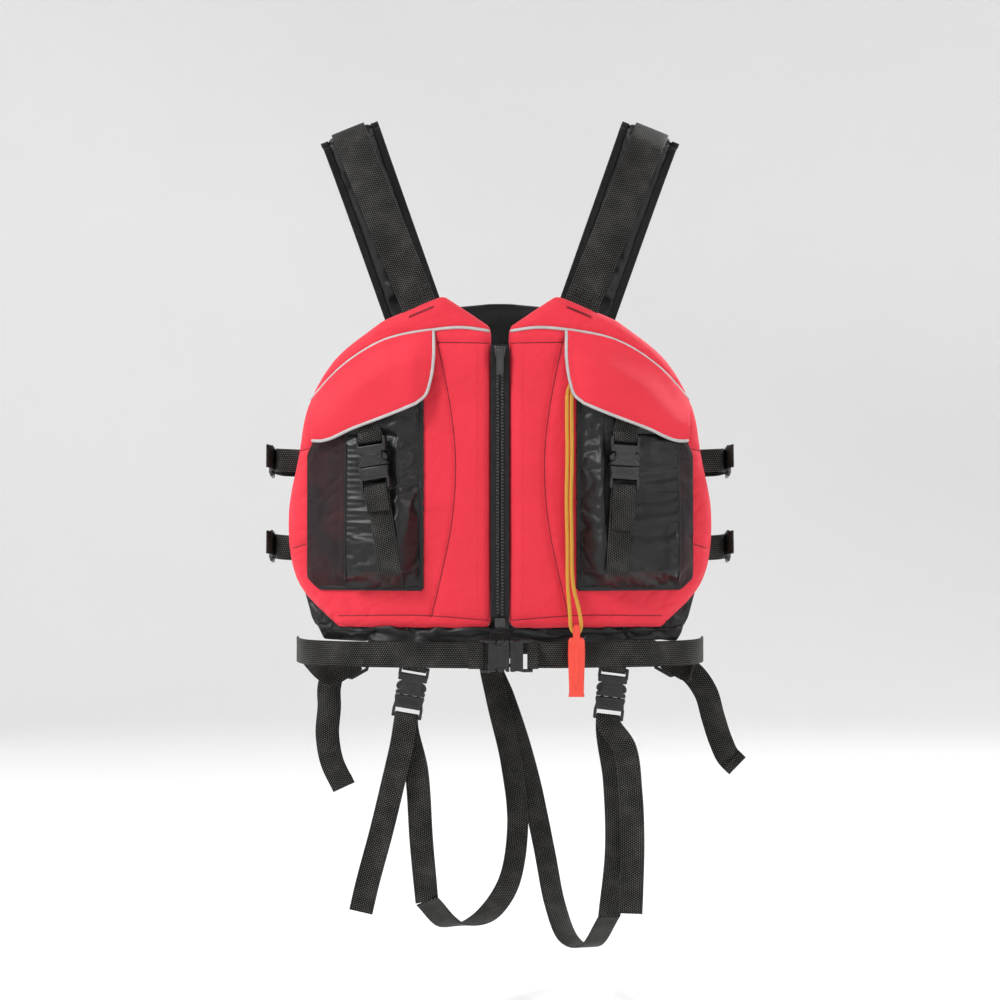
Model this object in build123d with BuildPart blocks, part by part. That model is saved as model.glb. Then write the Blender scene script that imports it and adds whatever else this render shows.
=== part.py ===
from build123d import *
import os
from math import cos, hypot, pi, radians, sin, sqrt, tan

# A life jacket as it hangs on the wearer: front towards -Y, back towards +Y, +Z up, millimetres.
# The origin lies midway between the undersides of the two shoulder strap tops.

# ---------------------------------------------------------------- driving dimensions
PANEL_R = 520.0  # outer faces of front and back are arcs of this radius in plan
DEPTH = 224.0  # from the front face to the back face, at the middle
PANEL_T = 39.4  # cover, foam and lining together
SKIN_T = 1.2  # cover and lining fabric with its seam allowance
FIT = 0.2  # air left between layers that are sewn round one another
ZIP_GAP = 9.5  # half the space between the two front halves
FRONT_FOOT = -530.0  # lower edge of the red front
HEM_FOOT = -546.0  # lower edge of the black hem bands
HEM_T = 3.0

STRAP_TILT = 22.0  # the shoulder straps lean outwards by this much
STRAP_TOP_X = 162.0
STRAP_RUN = 203.0  # from strap top to panel edge, along the strap
PAD_T = 11.0
PAD_W = 50.0
BINDING_W = 8.5
SHOULDER_WEB = 38.0
WEB = 25.0
WEB_T = 1.4

POCKET_IN, POCKET_SPLIT, POCKET_OUT = 81.0, 163.0, 206.0
POCKET_FOOT = -489.0
FLAP_R = 534.0  # inner face of the flap
FLAP_T = 2.5
FLAP_HINGE = ((70.0, -216.0), (203.0, -290.0))  # (x, z) of the hinge line's ends

BUCKLE_T = 10.0  # side-release buckles
SOCKET_L = 31.0
PLUG_L = 24.0
BAR_R = 1.9  # half the width of a web bar
BAR_H = 1.3  # half its thickness
BAR_TURN = 3.3  # radius of a web's middle line round such a bar
LOCK_T = 3.4  # ladder locks
LOCK_END_BAR = -11.75  # hinge line of a ladder lock, below its centre bar
LOCK_TURN = 3.4

BELT_Z = -557.0
BELT_W = 27.0
BELT_R = 524.0
CORD_D = 4.0

AXIS_Y = PANEL_R - DEPTH / 2
REACH = 220.0  # flat cutting shapes reach this far to both sides of the jacket's middle plane
LOWEST, PANEL_SPACE = -620.0, 520.0  # the panels lie within this height, counted from below them
SIDES = {"left": -1, "right": 1}
UP = Vector(0, 0, 1)


def save(builder, name):
    """Labels one finished piece and writes it as its own STEP file."""
    builder.part.label = name
    export_step(builder.part, f"parts/{name}.step")


# ---------------------------------------------------------------- places on the curved panels
def on_panel(x, z, r=PANEL_R, facing=-1):
    """The point of the arc layer of radius r over (x, z); facing -1 is the front, 1 the back."""
    return Vector(x, facing * (sqrt(r * r - x * x) - AXIS_Y), z)


def out_of_panel(x, r=PANEL_R, facing=-1):
    """The direction straight out of the panel at x."""
    return Vector(x / r, facing * sqrt(1 - (x / r) ** 2), 0)


def strap_point(side, y, s, across=0.0):
    """A point of the tilted shoulder strap plane, s millimetres down from the strap top."""
    tilt = radians(STRAP_TILT)
    x = STRAP_TOP_X - s * sin(tilt) + across * cos(tilt)
    return Vector(side * x, y, -s * cos(tilt) - across * sin(tilt))


# ---------------------------------------------------------------- shared builders
def slab(outline, inner_r, outer_r, facing=-1):
    """A curved panel: an upright outline cut from an arc-shaped layer."""
    with BuildPart() as panel:
        with BuildSketch(Plane.XZ):
            with BuildLine():
                outline()
            make_face()
        extrude(amount=REACH, both=True)
        with BuildSketch(Plane.XY.offset(LOWEST)):
            with Locations((0, -facing * AXIS_Y)):
                Circle(outer_r)
                Circle(inner_r, mode=Mode.SUBTRACT)
        extrude(amount=PANEL_SPACE, mode=Mode.INTERSECT)
    return panel.part


def ribbon(points, across, width, thickness=WEB_T):
    """Flat webbing along points; across is its width direction, one vector or one for each point."""
    points = [Vector(*p) if isinstance(p, tuple) else p for p in points]
    ways = across if isinstance(across, list) else [across] * len(points)
    last = len(points) - 1
    rings = []
    for i, point in enumerate(points):
        step_in = (point - points[i - 1]).normalized() if i else Vector(0, 0, 0)
        step_out = (points[i + 1] - point).normalized() if i < last else Vector(0, 0, 0)
        section = Plane(origin=point, x_dir=ways[i], z_dir=(step_in + step_out).normalized())
        corners = ((-1, -1), (1, -1), (1, 1), (-1, 1))
        half_w, half_t = width / 2, thickness / 2
        rings.append([section.from_local_coords((u * half_w, v * half_t, 0)) for u, v in corners])
    faces = [Face(Wire.make_polygon(ring)) for ring in (rings[0], rings[-1])]
    for ring, following in zip(rings, rings[1:]):
        for k in range(4):
            after = (k + 1) % 4
            faces.append(Face(Wire.make_polygon((ring[k], ring[after], following[after]))))
            faces.append(Face(Wire.make_polygon((ring[k], following[after], following[k]))))
    with BuildPart() as strip:
        add(Solid(Shell(faces)))
    return strip.part


def bar_turn(place, bar_y, way, height=BAR_TURN):
    """Five points of a web's half turn round a bar, from behind the bar to in front of it."""
    turn = []
    for step in range(5):
        angle = pi * step / 4
        turn.append(place.from_local_coords((0, bar_y + way * height * sin(angle), -height * cos(angle))))
    return turn


def pulled_in(points, side, middle, half, inset):
    """Outline points mirrored to a side, and drawn towards the panel's middle by the inset."""
    near = [1 - inset / length for length in half]
    return [
        (side * (middle[0] + near[0] * (x - middle[0])), middle[1] + near[1] * (z - middle[1]))
        for x, z in points
    ]


# ---------------------------------------------------------------- outlines of the panels
BASE_IN, BASE_OUT = (60.0, -178.0), (125.0, -204.0)  # ends of a front strap base
FRONT_SIDE = (BASE_OUT, (178, -246), (208, -300), (216, -345), (228, -412), (217, -482), (172, FRONT_FOOT))
BACK_IN, BACK_OUT = (57.0, -176.5), (132.0, -206.5)
BACK_SIDE = (BACK_OUT, (162, -254), (207, -352), (226, -448), (206, -502), (165, -514))
YOKE_SEAM = ((11, -216), (40, -212.5), (70, -214.5), (125, -226), (168, -252), (203, -287))
BACK_SEAM = ((0, -249), (100, -249), (138, -260), (176, -304))


def front_half(side, inset=0.0):
    """One front half: neck, strap base, side edge, foot and zip edge."""
    corners = [(ZIP_GAP, -212), (32, -197), BASE_IN, *FRONT_SIDE, (ZIP_GAP, FRONT_FOOT)]
    points = pulled_in(corners, side, (119, -354), (110, 176), inset)
    ThreePointArc(*points[:3])
    Line(points[2], points[3])
    Spline(points[3:-1])
    Line(points[-2], points[-1])
    Line(points[-1], points[0])


def back_whole(inset=0.0):
    """The back: collar edge, strap bases, side edges and foot."""
    for side in SIDES.values():
        half = pulled_in([(0, -172), BACK_IN, *BACK_SIDE, (0, -518)], side, (0, -345), (226, 173), inset)
        Spline(half[:2], tangents=[(side, 0), (side, -0.16)])
        Line(half[1], half[2])
        Spline(half[2:-1])
        Line(half[-2], half[-1])


def panel_layers(outline, facing):
    """Cover, foam and lining of one panel, each a closed solid inside the next."""
    cover_in = PANEL_R - PANEL_T + SKIN_T + FIT
    with BuildPart() as cover:
        add(slab(outline, cover_in, PANEL_R, facing))
        add(slab(lambda: outline(inset=SKIN_T), cover_in - 5, PANEL_R - SKIN_T, facing), mode=Mode.SUBTRACT)
    with BuildPart() as foam:
        add(slab(lambda: outline(inset=SKIN_T + FIT), cover_in + FIT, PANEL_R - SKIN_T - FIT, facing))
    with BuildPart() as lining:
        add(slab(outline, PANEL_R - PANEL_T, PANEL_R - PANEL_T + SKIN_T, facing))
    return cover, foam, lining


def flap_root(side):
    """The strip of yoke between the piped seam and the flap's hinge line."""
    Spline([(side * x, z) for x, z in YOKE_SEAM[2:]])
    (x0, z0), (x1, z1) = FLAP_HINGE
    Polyline((side * YOKE_SEAM[-1][0], YOKE_SEAM[-1][1]), (side * x1, z1), (side * x0, z0))
    Line((side * x0, z0), (side * YOKE_SEAM[2][0], YOKE_SEAM[2][1]))


def seam_strip(points, side, height=3.0):
    """A narrow strip along a seam, for a sewn-in piping."""
    start, end = points[0], points[-1]
    Spline([(side * x, z) for x, z in points])
    Line((side * end[0], end[1]), (side * end[0], end[1] - height))
    Spline([(side * x, z - height) for x, z in points])
    Line((side * start[0], start[1] - height), (side * start[0], start[1]))


def panels():
    foams, linings = [], []
    for name, side in SIDES.items():
        cover, foam, lining = panel_layers(lambda inset=0.0: front_half(side, inset), -1)
        with cover:
            add(slab(lambda: flap_root(side), PANEL_R - 0.5, PANEL_R + 6))
        save(cover, f"front_{name}_cover")
        foams.append(foam.part)
        linings.append(lining.part)
    with BuildPart() as front_foams:
        add(foams)
    with BuildPart() as front_linings:
        add(linings)
    save(front_foams, "front_foams")
    save(front_linings, "front_linings")

    cover, foam, lining = panel_layers(back_whole, 1)
    save(cover, "back_cover")
    save(foam, "back_foam")
    save(lining, "back_lining")

    piping_r = (PANEL_R + 0.2, PANEL_R + 3.0)
    with BuildPart() as yoke_pipings:
        for side in SIDES.values():
            add(slab(lambda: seam_strip(YOKE_SEAM[:3], side), *piping_r))
            add(slab(lambda: seam_strip(BACK_SEAM, side), *piping_r, facing=1))
    save(yoke_pipings, "yoke_pipings")


# ---------------------------------------------------------------- hem bands and eyelets
EYELET_X, EYELET_Z = 101.0, -533.0
EYELET_R = 4.0


def hem_band(x0, x1, top):
    Polyline((x0, top), (x1, top), (x1, HEM_FOOT), (x0, HEM_FOOT), close=True)


def hems():
    hem_r = (PANEL_R - 12, PANEL_R - 12 + HEM_T)
    back_y = on_panel(EYELET_X, 0, hem_r[1], 1).Y
    with BuildPart() as hem_bands:
        for side in SIDES.values():
            add(slab(lambda: hem_band(side * ZIP_GAP, side * 188, FRONT_FOOT - FIT), *hem_r))
        add(slab(lambda: hem_band(-160, 160, -518.5), *hem_r, facing=1))
        for side in SIDES.values():
            with BuildSketch(Plane.XZ):
                with Locations((side * EYELET_X, EYELET_Z)):
                    Circle(EYELET_R + 1.6)
            extrude(amount=-150, mode=Mode.SUBTRACT)
    save(hem_bands, "hem_bands")

    with BuildPart() as hem_eyelets:
        for side in SIDES.values():
            with BuildSketch(Plane.XZ.offset(-back_y + 5.5)):
                with Locations((side * EYELET_X, EYELET_Z)):
                    Circle(EYELET_R + 1.4)
                    Circle(EYELET_R, mode=Mode.SUBTRACT)
            extrude(amount=-8)
            with BuildSketch(Plane.XZ.offset(-back_y - 2)):
                with Locations((side * EYELET_X, EYELET_Z)):
                    Circle(EYELET_R + 4)
                    Circle(EYELET_R, mode=Mode.SUBTRACT)
            extrude(amount=-1)
    save(hem_eyelets, "hem_eyelets")


# ---------------------------------------------------------------- zip
ZIP_TOP, ZIP_FOOT = -230.0, -518.0
ZIP_Y = -DEPTH / 2 + 6
SLIDER_Z = -238.0
SLIDER_H = 12.0
PULL_Y = ZIP_Y - 8.2
PULL_PIN_R = 0.9


def zip_parts():
    height = ZIP_TOP - ZIP_FOOT
    middle = (ZIP_TOP + ZIP_FOOT) / 2
    with BuildPart() as zip_tapes:
        with Locations((-5.1, ZIP_Y, middle), (5.1, ZIP_Y, middle)):
            Box(8.4, 0.9, height)
    save(zip_tapes, "zip_tapes")

    with BuildPart() as zip_teeth:
        for y in (-1.15, 1.15):
            with Locations((-2, ZIP_Y + y, middle), (2, ZIP_Y + y, middle)):
                Box(2.4, 1.3, height)
    save(zip_teeth, "zip_teeth")

    with BuildPart() as zip_box:
        with Locations((0, ZIP_Y, ZIP_FOOT - 5.1)):
            Box(11, 5, 10)
        fillet(zip_box.edges().filter_by(Axis.Y), 2)
    save(zip_box, "zip_box")

    with BuildPart() as zip_slider:
        for y in (-3.8, 3.8):
            with BuildSketch(Plane.XZ.offset(-ZIP_Y - y - 1.3)):
                with Locations((0, SLIDER_Z)):
                    RectangleRounded(12, SLIDER_H, 2)
            extrude(amount=2.6)
        with Locations((0, ZIP_Y, SLIDER_Z)):
            Box(0.9, 7, SLIDER_H)
        for x in (-4.6, 4.6):
            with Locations((x, PULL_Y + 1.6, SLIDER_Z)):
                Box(1.4, 4.6, 4)
        with Locations((0, PULL_Y, SLIDER_Z)):
            Cylinder(PULL_PIN_R, 9, rotation=(0, 90, 0))
    save(zip_slider, "zip_slider")

    with BuildPart() as zip_pull:
        with BuildSketch(Plane.XZ.offset(-PULL_Y - 1)):
            with Locations((0, SLIDER_Z - 11)):
                RectangleRounded(7.6, 27, 1.5)
        extrude(amount=2)
        with Locations((0, PULL_Y, SLIDER_Z)):
            Cylinder(PULL_PIN_R + 1.3, 7.6, rotation=(0, 90, 0))
            Cylinder(PULL_PIN_R + 0.08, 9, rotation=(0, 90, 0), mode=Mode.SUBTRACT)
    save(zip_pull, "zip_pull")


# ---------------------------------------------------------------- pockets and flaps
POCKET_TOP = ((POCKET_IN, -250), (POCKET_OUT, -312))
POCKET_WALL = 1.2
# (r, z) down the pocket's front: flat under the flap, then a bellows that swells towards the foot
BELLOWS = ((530.5, -240), (530.5, -325), (548, -440), (548, -468), (540, -489))
BELLOWS_SWING = 26.0  # degrees to each side of the zip, more than the pockets reach
PANEL_AXIS = Axis((0, AXIS_Y, 0), (0, 0, 1))


def pocket_region(side, x_in, x_out, foot, lift=0.0):
    """An upright outline between two x, with the slanted mouth and a cut lower outer corner."""
    (xa, za), (xb, zb) = POCKET_TOP
    slope = (zb - za) / (xb - xa)
    top_in = za + slope * (x_in - xa) + lift
    top_out = za + slope * (x_out - xa) + lift
    cut = 12 if x_out > POCKET_SPLIT + 5 else 0.5
    corners = [(x_in, top_in), (x_out, top_out), (x_out, foot + cut), (x_out - cut, foot), (x_in, foot)]
    Polyline([(side * x, z) for x, z in corners], close=True)


def bellows_layer(region, back_r, inset):
    """The swelling pocket shape in front of back_r, cut to an upright region."""
    with BuildPart() as layer:
        with BuildSketch(Plane((0, AXIS_Y, 0), x_dir=(0, -1, 0), z_dir=(-1, 0, 0))):
            with BuildLine():
                front = [(r - inset, z) for r, z in BELLOWS]
                Polyline([(back_r, -240), *front, (back_r, -489)], close=True)
            make_face()
        revolve(axis=PANEL_AXIS, revolution_arc=2 * BELLOWS_SWING)
        layer.part = layer.part.rotate(PANEL_AXIS, -BELLOWS_SWING)
    with BuildPart() as cut:
        add(layer.part)
        with BuildSketch(Plane.XZ):
            with BuildLine():
                region()
            make_face()
        extrude(amount=REACH, both=True, mode=Mode.INTERSECT)
    return cut.part


def pocket_shell(side, x_in, x_out, wall_in, wall_out):
    """A pocket part: front, foot and one side wall, open at the mouth and towards the other part."""
    outer = bellows_layer(lambda: pocket_region(side, x_in, x_out, POCKET_FOOT), PANEL_R + FIT, 0)
    inner = bellows_layer(
        lambda: pocket_region(side, x_in + wall_in, x_out - wall_out, POCKET_FOOT + POCKET_WALL, 10),
        PANEL_R - 4,
        POCKET_WALL,
    )
    with BuildPart() as shell:
        add(outer)
        add(inner, mode=Mode.SUBTRACT)
    return shell


def flap_outline(side):
    (x0, z0), (x1, z1) = FLAP_HINGE
    clear = 0.6
    Line((side * x0, z0 - clear), (side * x1, z1 - clear))
    Line((side * x1, z1 - clear), (side * 200, -331))
    Line((side * 200, -331), (side * 188, -331))
    Line((side * 188, -331), (side * 96, -296))
    Spline(
        [(side * 96, -296), (side * 78, -282), (side * 70, -258)],
        tangents=[(-side * 92, 35), (-side * 0.1, 1)],
    )
    Line((side * 70, -258), (side * x0, z0 - clear))


def flap_edge(side):
    """The strip of piping below the flap's lower edge."""
    grow = 2.4
    Line((side * 200, -331), (side * 188, -331))
    Line((side * 188, -331), (side * 96, -296))
    Line((side * 96, -296), (side * 95, -296 - grow))
    Line((side * 95, -296 - grow), (side * 188, -331 - grow))
    Line((side * 188, -331 - grow), (side * 200, -331 - grow))
    Line((side * 200, -331 - grow), (side * 200, -331))


def closure_patch(side):
    """A hook-and-loop patch under the flap, beside the strap."""
    Polyline([(side * x, z) for x, z in ((162, -304), (190, -314), (190, -324), (162, -314))], close=True)


def pockets():
    meshes, loops = [], []
    for name, side in SIDES.items():
        bag = pocket_shell(side, POCKET_IN, POCKET_SPLIT, POCKET_WALL, -2)
        save(bag, f"{name}_pocket")
        meshes.append(pocket_shell(side, POCKET_SPLIT + FIT, POCKET_OUT, -2, POCKET_WALL).part)
        with BuildPart() as flap:
            add(slab(lambda: flap_outline(side), FLAP_R, FLAP_R + FLAP_T))
        save(flap, f"{name}_flap")
        with BuildPart() as piping:
            add(slab(lambda: flap_edge(side), FLAP_R - 0.3, FLAP_R + FLAP_T + 0.3))
        save(piping, f"{name}_flap_piping")
        with BuildPart() as hook:
            add(slab(lambda: closure_patch(side), FLAP_R - 1.1, FLAP_R - 0.1))
        save(hook, f"{name}_flap_hook")
        loops.append(slab(lambda: closure_patch(side), BELLOWS[0][0] + 0.1, BELLOWS[0][0] + 1.2))
    with BuildPart() as pocket_meshes:
        add(meshes)
    save(pocket_meshes, "pocket_meshes")
    with BuildPart() as pocket_loops:
        add(loops)
    save(pocket_loops, "pocket_loops")


# ---------------------------------------------------------------- buckles and ladder locks
def hardware_plane(origin, along, out):
    """A place for hardware: local Y runs along the web, local Z points out of the jacket."""
    along = along.normalized()
    across = along.cross(out).normalized()
    return Plane(origin=origin, x_dir=across, z_dir=across.cross(along))


def buckle_socket(place, web=WEB):
    """The female half of a side-release buckle: mouth at local y = 0, web bar at its far end."""
    width = web + 7
    with BuildPart() as socket:
        with BuildSketch(place.offset(-BUCKLE_T / 2)):
            with Locations((0, SOCKET_L / 2)):
                RectangleRounded(width, SOCKET_L, 3.5)
        extrude(amount=BUCKLE_T)
        with BuildSketch(place.offset(-2.6)):
            with Locations((0, 9.5)):
                Rectangle(width - 5, 21)
        extrude(amount=5.2, mode=Mode.SUBTRACT)
        with BuildSketch(place.offset(-3)):
            with Locations((0, 9.5)):
                Rectangle(width + 2, 10)
        extrude(amount=6, mode=Mode.SUBTRACT)
        with BuildSketch(place.offset(-BUCKLE_T)):
            with Locations((0, SOCKET_L - 6.6)):
                Rectangle(web + 1.2, 5.6)
        extrude(amount=2 * BUCKLE_T, mode=Mode.SUBTRACT)
        for low in (BAR_H, -BAR_H - BUCKLE_T):
            with BuildSketch(place.offset(low)):
                with Locations((0, SOCKET_L)):
                    Rectangle(width + 2, 7.6)
            extrude(amount=BUCKLE_T, mode=Mode.SUBTRACT)
    return socket


def buckle_plug(place, web=WEB):
    """The male half below y = 0: web bar, body and the middle guide tongue."""
    width = web + 7
    with BuildPart() as plug:
        with BuildSketch(place.offset(-BUCKLE_T / 2)):
            with Locations((0, -PLUG_L / 2 - 0.4)):
                RectangleRounded(width, PLUG_L, 3.5)
        extrude(amount=BUCKLE_T)
        with BuildSketch(place.offset(-BUCKLE_T)):
            with Locations((0, 6.2 - PLUG_L)):
                Rectangle(web + 1.2, 5.6)
        extrude(amount=2 * BUCKLE_T, mode=Mode.SUBTRACT)
        for low in (BAR_H, -BAR_H - BUCKLE_T):
            with BuildSketch(place.offset(low)):
                with Locations((0, -PLUG_L - 0.4)):
                    Rectangle(width + 2, 7.6)
            extrude(amount=BUCKLE_T, mode=Mode.SUBTRACT)
        with BuildSketch(place.offset(-1.6)):
            with Locations((0, 8)):
                Rectangle(5, 18)
        extrude(amount=3.2)
    return plug


def buckle_prongs(place, web=WEB):
    """The two sprung arms, whose barbs look out of the socket's side windows."""
    reach = (web + 7) / 2
    with BuildPart() as prongs:
        for way in (-1, 1):
            with BuildSketch(place.offset(-2.2)):
                with BuildLine():
                    corners = ((reach - 9, -0.4), (reach - 9, 14), (reach - 4, 14), (reach - 0.6, 9),
                               (reach - 0.6, 5.2), (reach - 5, 5.2), (reach - 5, -0.4))
                    Polyline([(way * x, y) for x, y in corners], close=True)
                make_face()
            extrude(amount=4.4)
    return prongs


def ladder_lock(place, web=WEB):
    """A ladder lock: end bar, centre bar, top bar and a D-shaped thumb tab above."""
    width = web + 9
    with BuildPart() as lock:
        with BuildSketch(place.offset(-LOCK_T / 2)):
            RectangleRounded(width, 27, 3)
            with Locations((0, 13.5)):
                Ellipse(width * 0.36, 15)
            for y, height in ((-6.2, 7.6), (6.3, 7.4)):
                with Locations((0, y)):
                    Rectangle(web + 1.4, height, mode=Mode.SUBTRACT)
        extrude(amount=LOCK_T)
        for low in (-LOCK_T / 2, 1):
            with BuildSketch(place.offset(low)):
                Rectangle(web + 1.4, 5.6)
            extrude(amount=0.7, mode=Mode.SUBTRACT)
    return lock


# (along, out) of a web's way under a ladder lock, round its centre bar and back out under the top bar
LOCK_WAY = ((24, -5.4), (12, -5.4), (1, -3.6), (-3.6, -2.4), (-5.2, 0), (-3.4, 2.7), (0, 3.1), (3.4, 2.2),
            (6.4, -0.6), (9, -3.4), (14, -3.6))


def local_points(place, pairs):
    return [place.from_local_coords((0, along, out)) for along, out in pairs]


# ---------------------------------------------------------------- pocket straps
POCKET_BUCKLE_TILT = {"left": 9.0, "right": -4.0}
POCKET_BUCKLE_X = {"left": -132.0, "right": 130.0}
POCKET_BUCKLE_Z = -359.0
POCKET_SLOPE = (548 - 530.5) / (440 - 325)
BUCKLE_CLEAR = 2.9  # air between a pocket buckle and the pocket's face


def pocket_face(x, z, above):
    """A point above the bellows' front face."""
    r = BELLOWS[0][0] + POCKET_SLOPE * min(max(-325 - z, 0), 115)
    return on_panel(x, z, r + above)


def pocket_place(name):
    x = POCKET_BUCKLE_X[name]
    lean = radians(POCKET_BUCKLE_TILT[name])
    out = out_of_panel(x)
    up = Vector(-sin(lean), 0, cos(lean)) - out * POCKET_SLOPE
    return hardware_plane(pocket_face(x, POCKET_BUCKLE_Z, BUCKLE_T / 2 + BUCKLE_CLEAR), up, out)


def pocket_straps():
    webs = []
    for name in SIDES:
        place = pocket_place(name)
        socket, plug, prongs = buckle_socket(place), buckle_plug(place), buckle_prongs(place)
        save(socket, f"{name}_pocket_socket")
        save(plug, f"{name}_pocket_plug")
        save(prongs, f"{name}_pocket_prongs")

        x, lean = POCKET_BUCKLE_X[name], tan(radians(POCKET_BUCKLE_TILT[name]))
        across = place.x_dir
        (x0, z0), (x1, z1) = FLAP_HINGE
        hinge_z = z0 + (abs(x) + 12 - x0) * (z1 - z0) / (x1 - x0)
        top = [(hinge_z - 10.5, -8.2), (hinge_z - 15, 1.6), (-315, 1.4)]
        upper = [pocket_face(x - lean * (z - POCKET_BUCKLE_Z), z, above) for z, above in top]
        upper += bar_turn(place, SOCKET_L - BAR_R, -1)
        upper.append(place.from_local_coords((0, SOCKET_L + 5, BAR_TURN)))
        webs.append(ribbon(upper, across, WEB))

        lower = [pocket_face(x - lean * (z - POCKET_BUCKLE_Z), z, 1.5) for z in (-484, -440, -405)]
        lower += bar_turn(place, BAR_R - PLUG_L - 0.4, 1)
        tail = [(-PLUG_L - 8, 1.4), (-PLUG_L - 22, -1.5), (-PLUG_L - 46, -2.2)]
        lower += local_points(place, tail)
        webs.append(ribbon(lower, across, WEB))
    with BuildPart() as pocket_webs:
        add(webs)
    save(pocket_webs, "pocket_webs")


# ---------------------------------------------------------------- shoulder straps
ARCH = ((78.5, STRAP_RUN - 1.4), (72, 120), (58, 55), (34, 14), (10, 0), (-10, 0))


def arch(out):
    """(y, s) corners of the strap's way over the shoulder, out millimetres outside its underside."""
    corners = []
    for i, here in enumerate(ARCH):
        steps = []
        for a, b in ((ARCH[max(i - 1, 0)], here), (here, ARCH[min(i + 1, len(ARCH) - 1)])):
            length = hypot(b[0] - a[0], b[1] - a[1])
            if length:
                steps.append(((a[1] - b[1]) / length, (b[0] - a[0]) / length))
        y = sum(step[0] for step in steps)
        s = sum(step[1] for step in steps)
        reach = out * len(steps) / (y * y + s * s)
        corners.append((here[0] + reach * y, here[1] + reach * s))
    return corners


def leg_way(side, pairs, across=0.0):
    return [strap_point(side, y, s, across) for y, s in pairs]


def shoulder_across(side):
    return (strap_point(side, 0, 0, 1) - strap_point(side, 0, 0)).normalized()


LOCK_S = 158.0  # the big ladder lock's centre bar, along the strap


def shoulder_place(side):
    """The big ladder lock's place on the back pad, tab towards the shoulder."""
    (y0, s0), (y1, s1) = arch(PAD_T + 7.2)[:2]
    y = y0 + (y1 - y0) * (LOCK_S - s0) / (s1 - s0)
    up = strap_point(side, y1, s1) - strap_point(side, y0, s0)
    return hardware_plane(strap_point(side, y, LOCK_S), up, Vector(0, 1, 0))


def shoulders():
    pads, bindings, webs, anchors, keepers = [], [], [], [], []
    for name, side in SIDES.items():
        across = shoulder_across(side)
        half = (PAD_W + BINDING_W) / 2 + 0.1
        middle = arch(PAD_T / 2)
        pads.append(ribbon(leg_way(side, middle), across, PAD_W, PAD_T))
        for edge in (-half, half):
            bindings.append(ribbon(leg_way(side, middle, edge), across, BINDING_W, PAD_T - 3))

        place = shoulder_place(side)
        save(ladder_lock(place, SHOULDER_WEB), f"{name}_shoulder_lock")
        over = arch(PAD_T + 1.2)
        front = [(-y, s) for y, s in over[:-2]]
        way = leg_way(side, front + over[:0:-1])
        way += [place.from_local_coords((0, 30, -5.5))]
        way += local_points(place, LOCK_WAY[1:])
        way.append(place.from_local_coords((0, 24, -3.4)))
        webs.append(ribbon(way, across, SHOULDER_WEB))

        anchor = bar_turn(place, LOCK_END_BAR, 1, LOCK_TURN)
        foot = leg_way(side, [(ARCH[0][0] + PAD_T + 2, s) for s in (STRAP_RUN - 12, STRAP_RUN - 1.4)])
        anchors.append(ribbon(anchor[::-1][:-1] + [anchor[0]] + foot, across, SHOULDER_WEB))

        (y0, s0), (y1, s1) = arch(PAD_T + 3.2)[1:3]
        keeper = [(y0 + (y1 - y0) * t, s0 + (s1 - s0) * t) for t in (0.55, 0.85)]
        keepers.append(ribbon(leg_way(side, keeper), across, PAD_W + 2 * BINDING_W, WEB_T))
    for name, parts in (("shoulder_pads", pads), ("pad_bindings", bindings), ("shoulder_webs", webs),
                        ("shoulder_anchors", anchors), ("pad_keepers", keepers)):
        with BuildPart() as group:
            add(parts)
        save(group, name)


# ---------------------------------------------------------------- side straps
SIDE_STRAPS = {"upper": -352.0, "lower": -445.0}
SIDE_BOW = 250.0  # how far out the side straps stand
SIDE_EDGE = {"upper": 222.5, "lower": 231.0}  # half-width of the panels where the webs leave them


def side_straps():
    webs = []
    for name, side in SIDES.items():
        for level, z in SIDE_STRAPS.items():
            place = hardware_plane(Vector(side * SIDE_BOW, 4, z), Vector(0, -1, 0.12), Vector(side, 0, 0))
            save(ladder_lock(place), f"{name}_{level}_side_lock")
            across = place.x_dir
            edge = SIDE_EDGE[level]
            front = [Vector(side * edge, -42, z), Vector(side * (SIDE_BOW - 12), -38, z + 1)]
            front += local_points(place, LOCK_WAY[1:])
            front += local_points(place, ((30, -3.2), (42, -1.5), (50, 1.5)))
            webs.append(ribbon(front, across, WEB))
            back = bar_turn(place, LOCK_END_BAR, 1, LOCK_TURN)
            back = [place.from_local_coords((0, LOCK_END_BAR - 12, 1.6))] + back[::-1]
            back += [Vector(side * (SIDE_BOW - 10), 36, z - 3), Vector(side * edge, 42, z - 4)]
            webs.append(ribbon(back, across, WEB))
    with BuildPart() as side_webs:
        add(webs)
    save(side_webs, "side_webs")


# ---------------------------------------------------------------- waist belt
BELT_BUCKLE_X = 10.0
BELT_LOCKS = {"left": Vector(-168, 103, -578), "right": Vector(193, 95, -575)}
BELT_TAILS = {
    "left": [(-194, 93, -606), (-194, 92, -628), (-196, 90, -660), (-191, 89, -690), (-177, 89, -720)],
    "right": [(232, 79, -610), (241, 78, -640), (249, 76, -665), (258, 75, -684), (268, 75, -694)],
}


def belt_lock_place(name):
    """A belt lock hangs from the end of the back belt, its tab down and outwards."""
    side = SIDES[name]
    return hardware_plane(BELT_LOCKS[name], Vector(side, -0.35, -0.55), Vector(side * 0.25, 1, 0))


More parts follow.
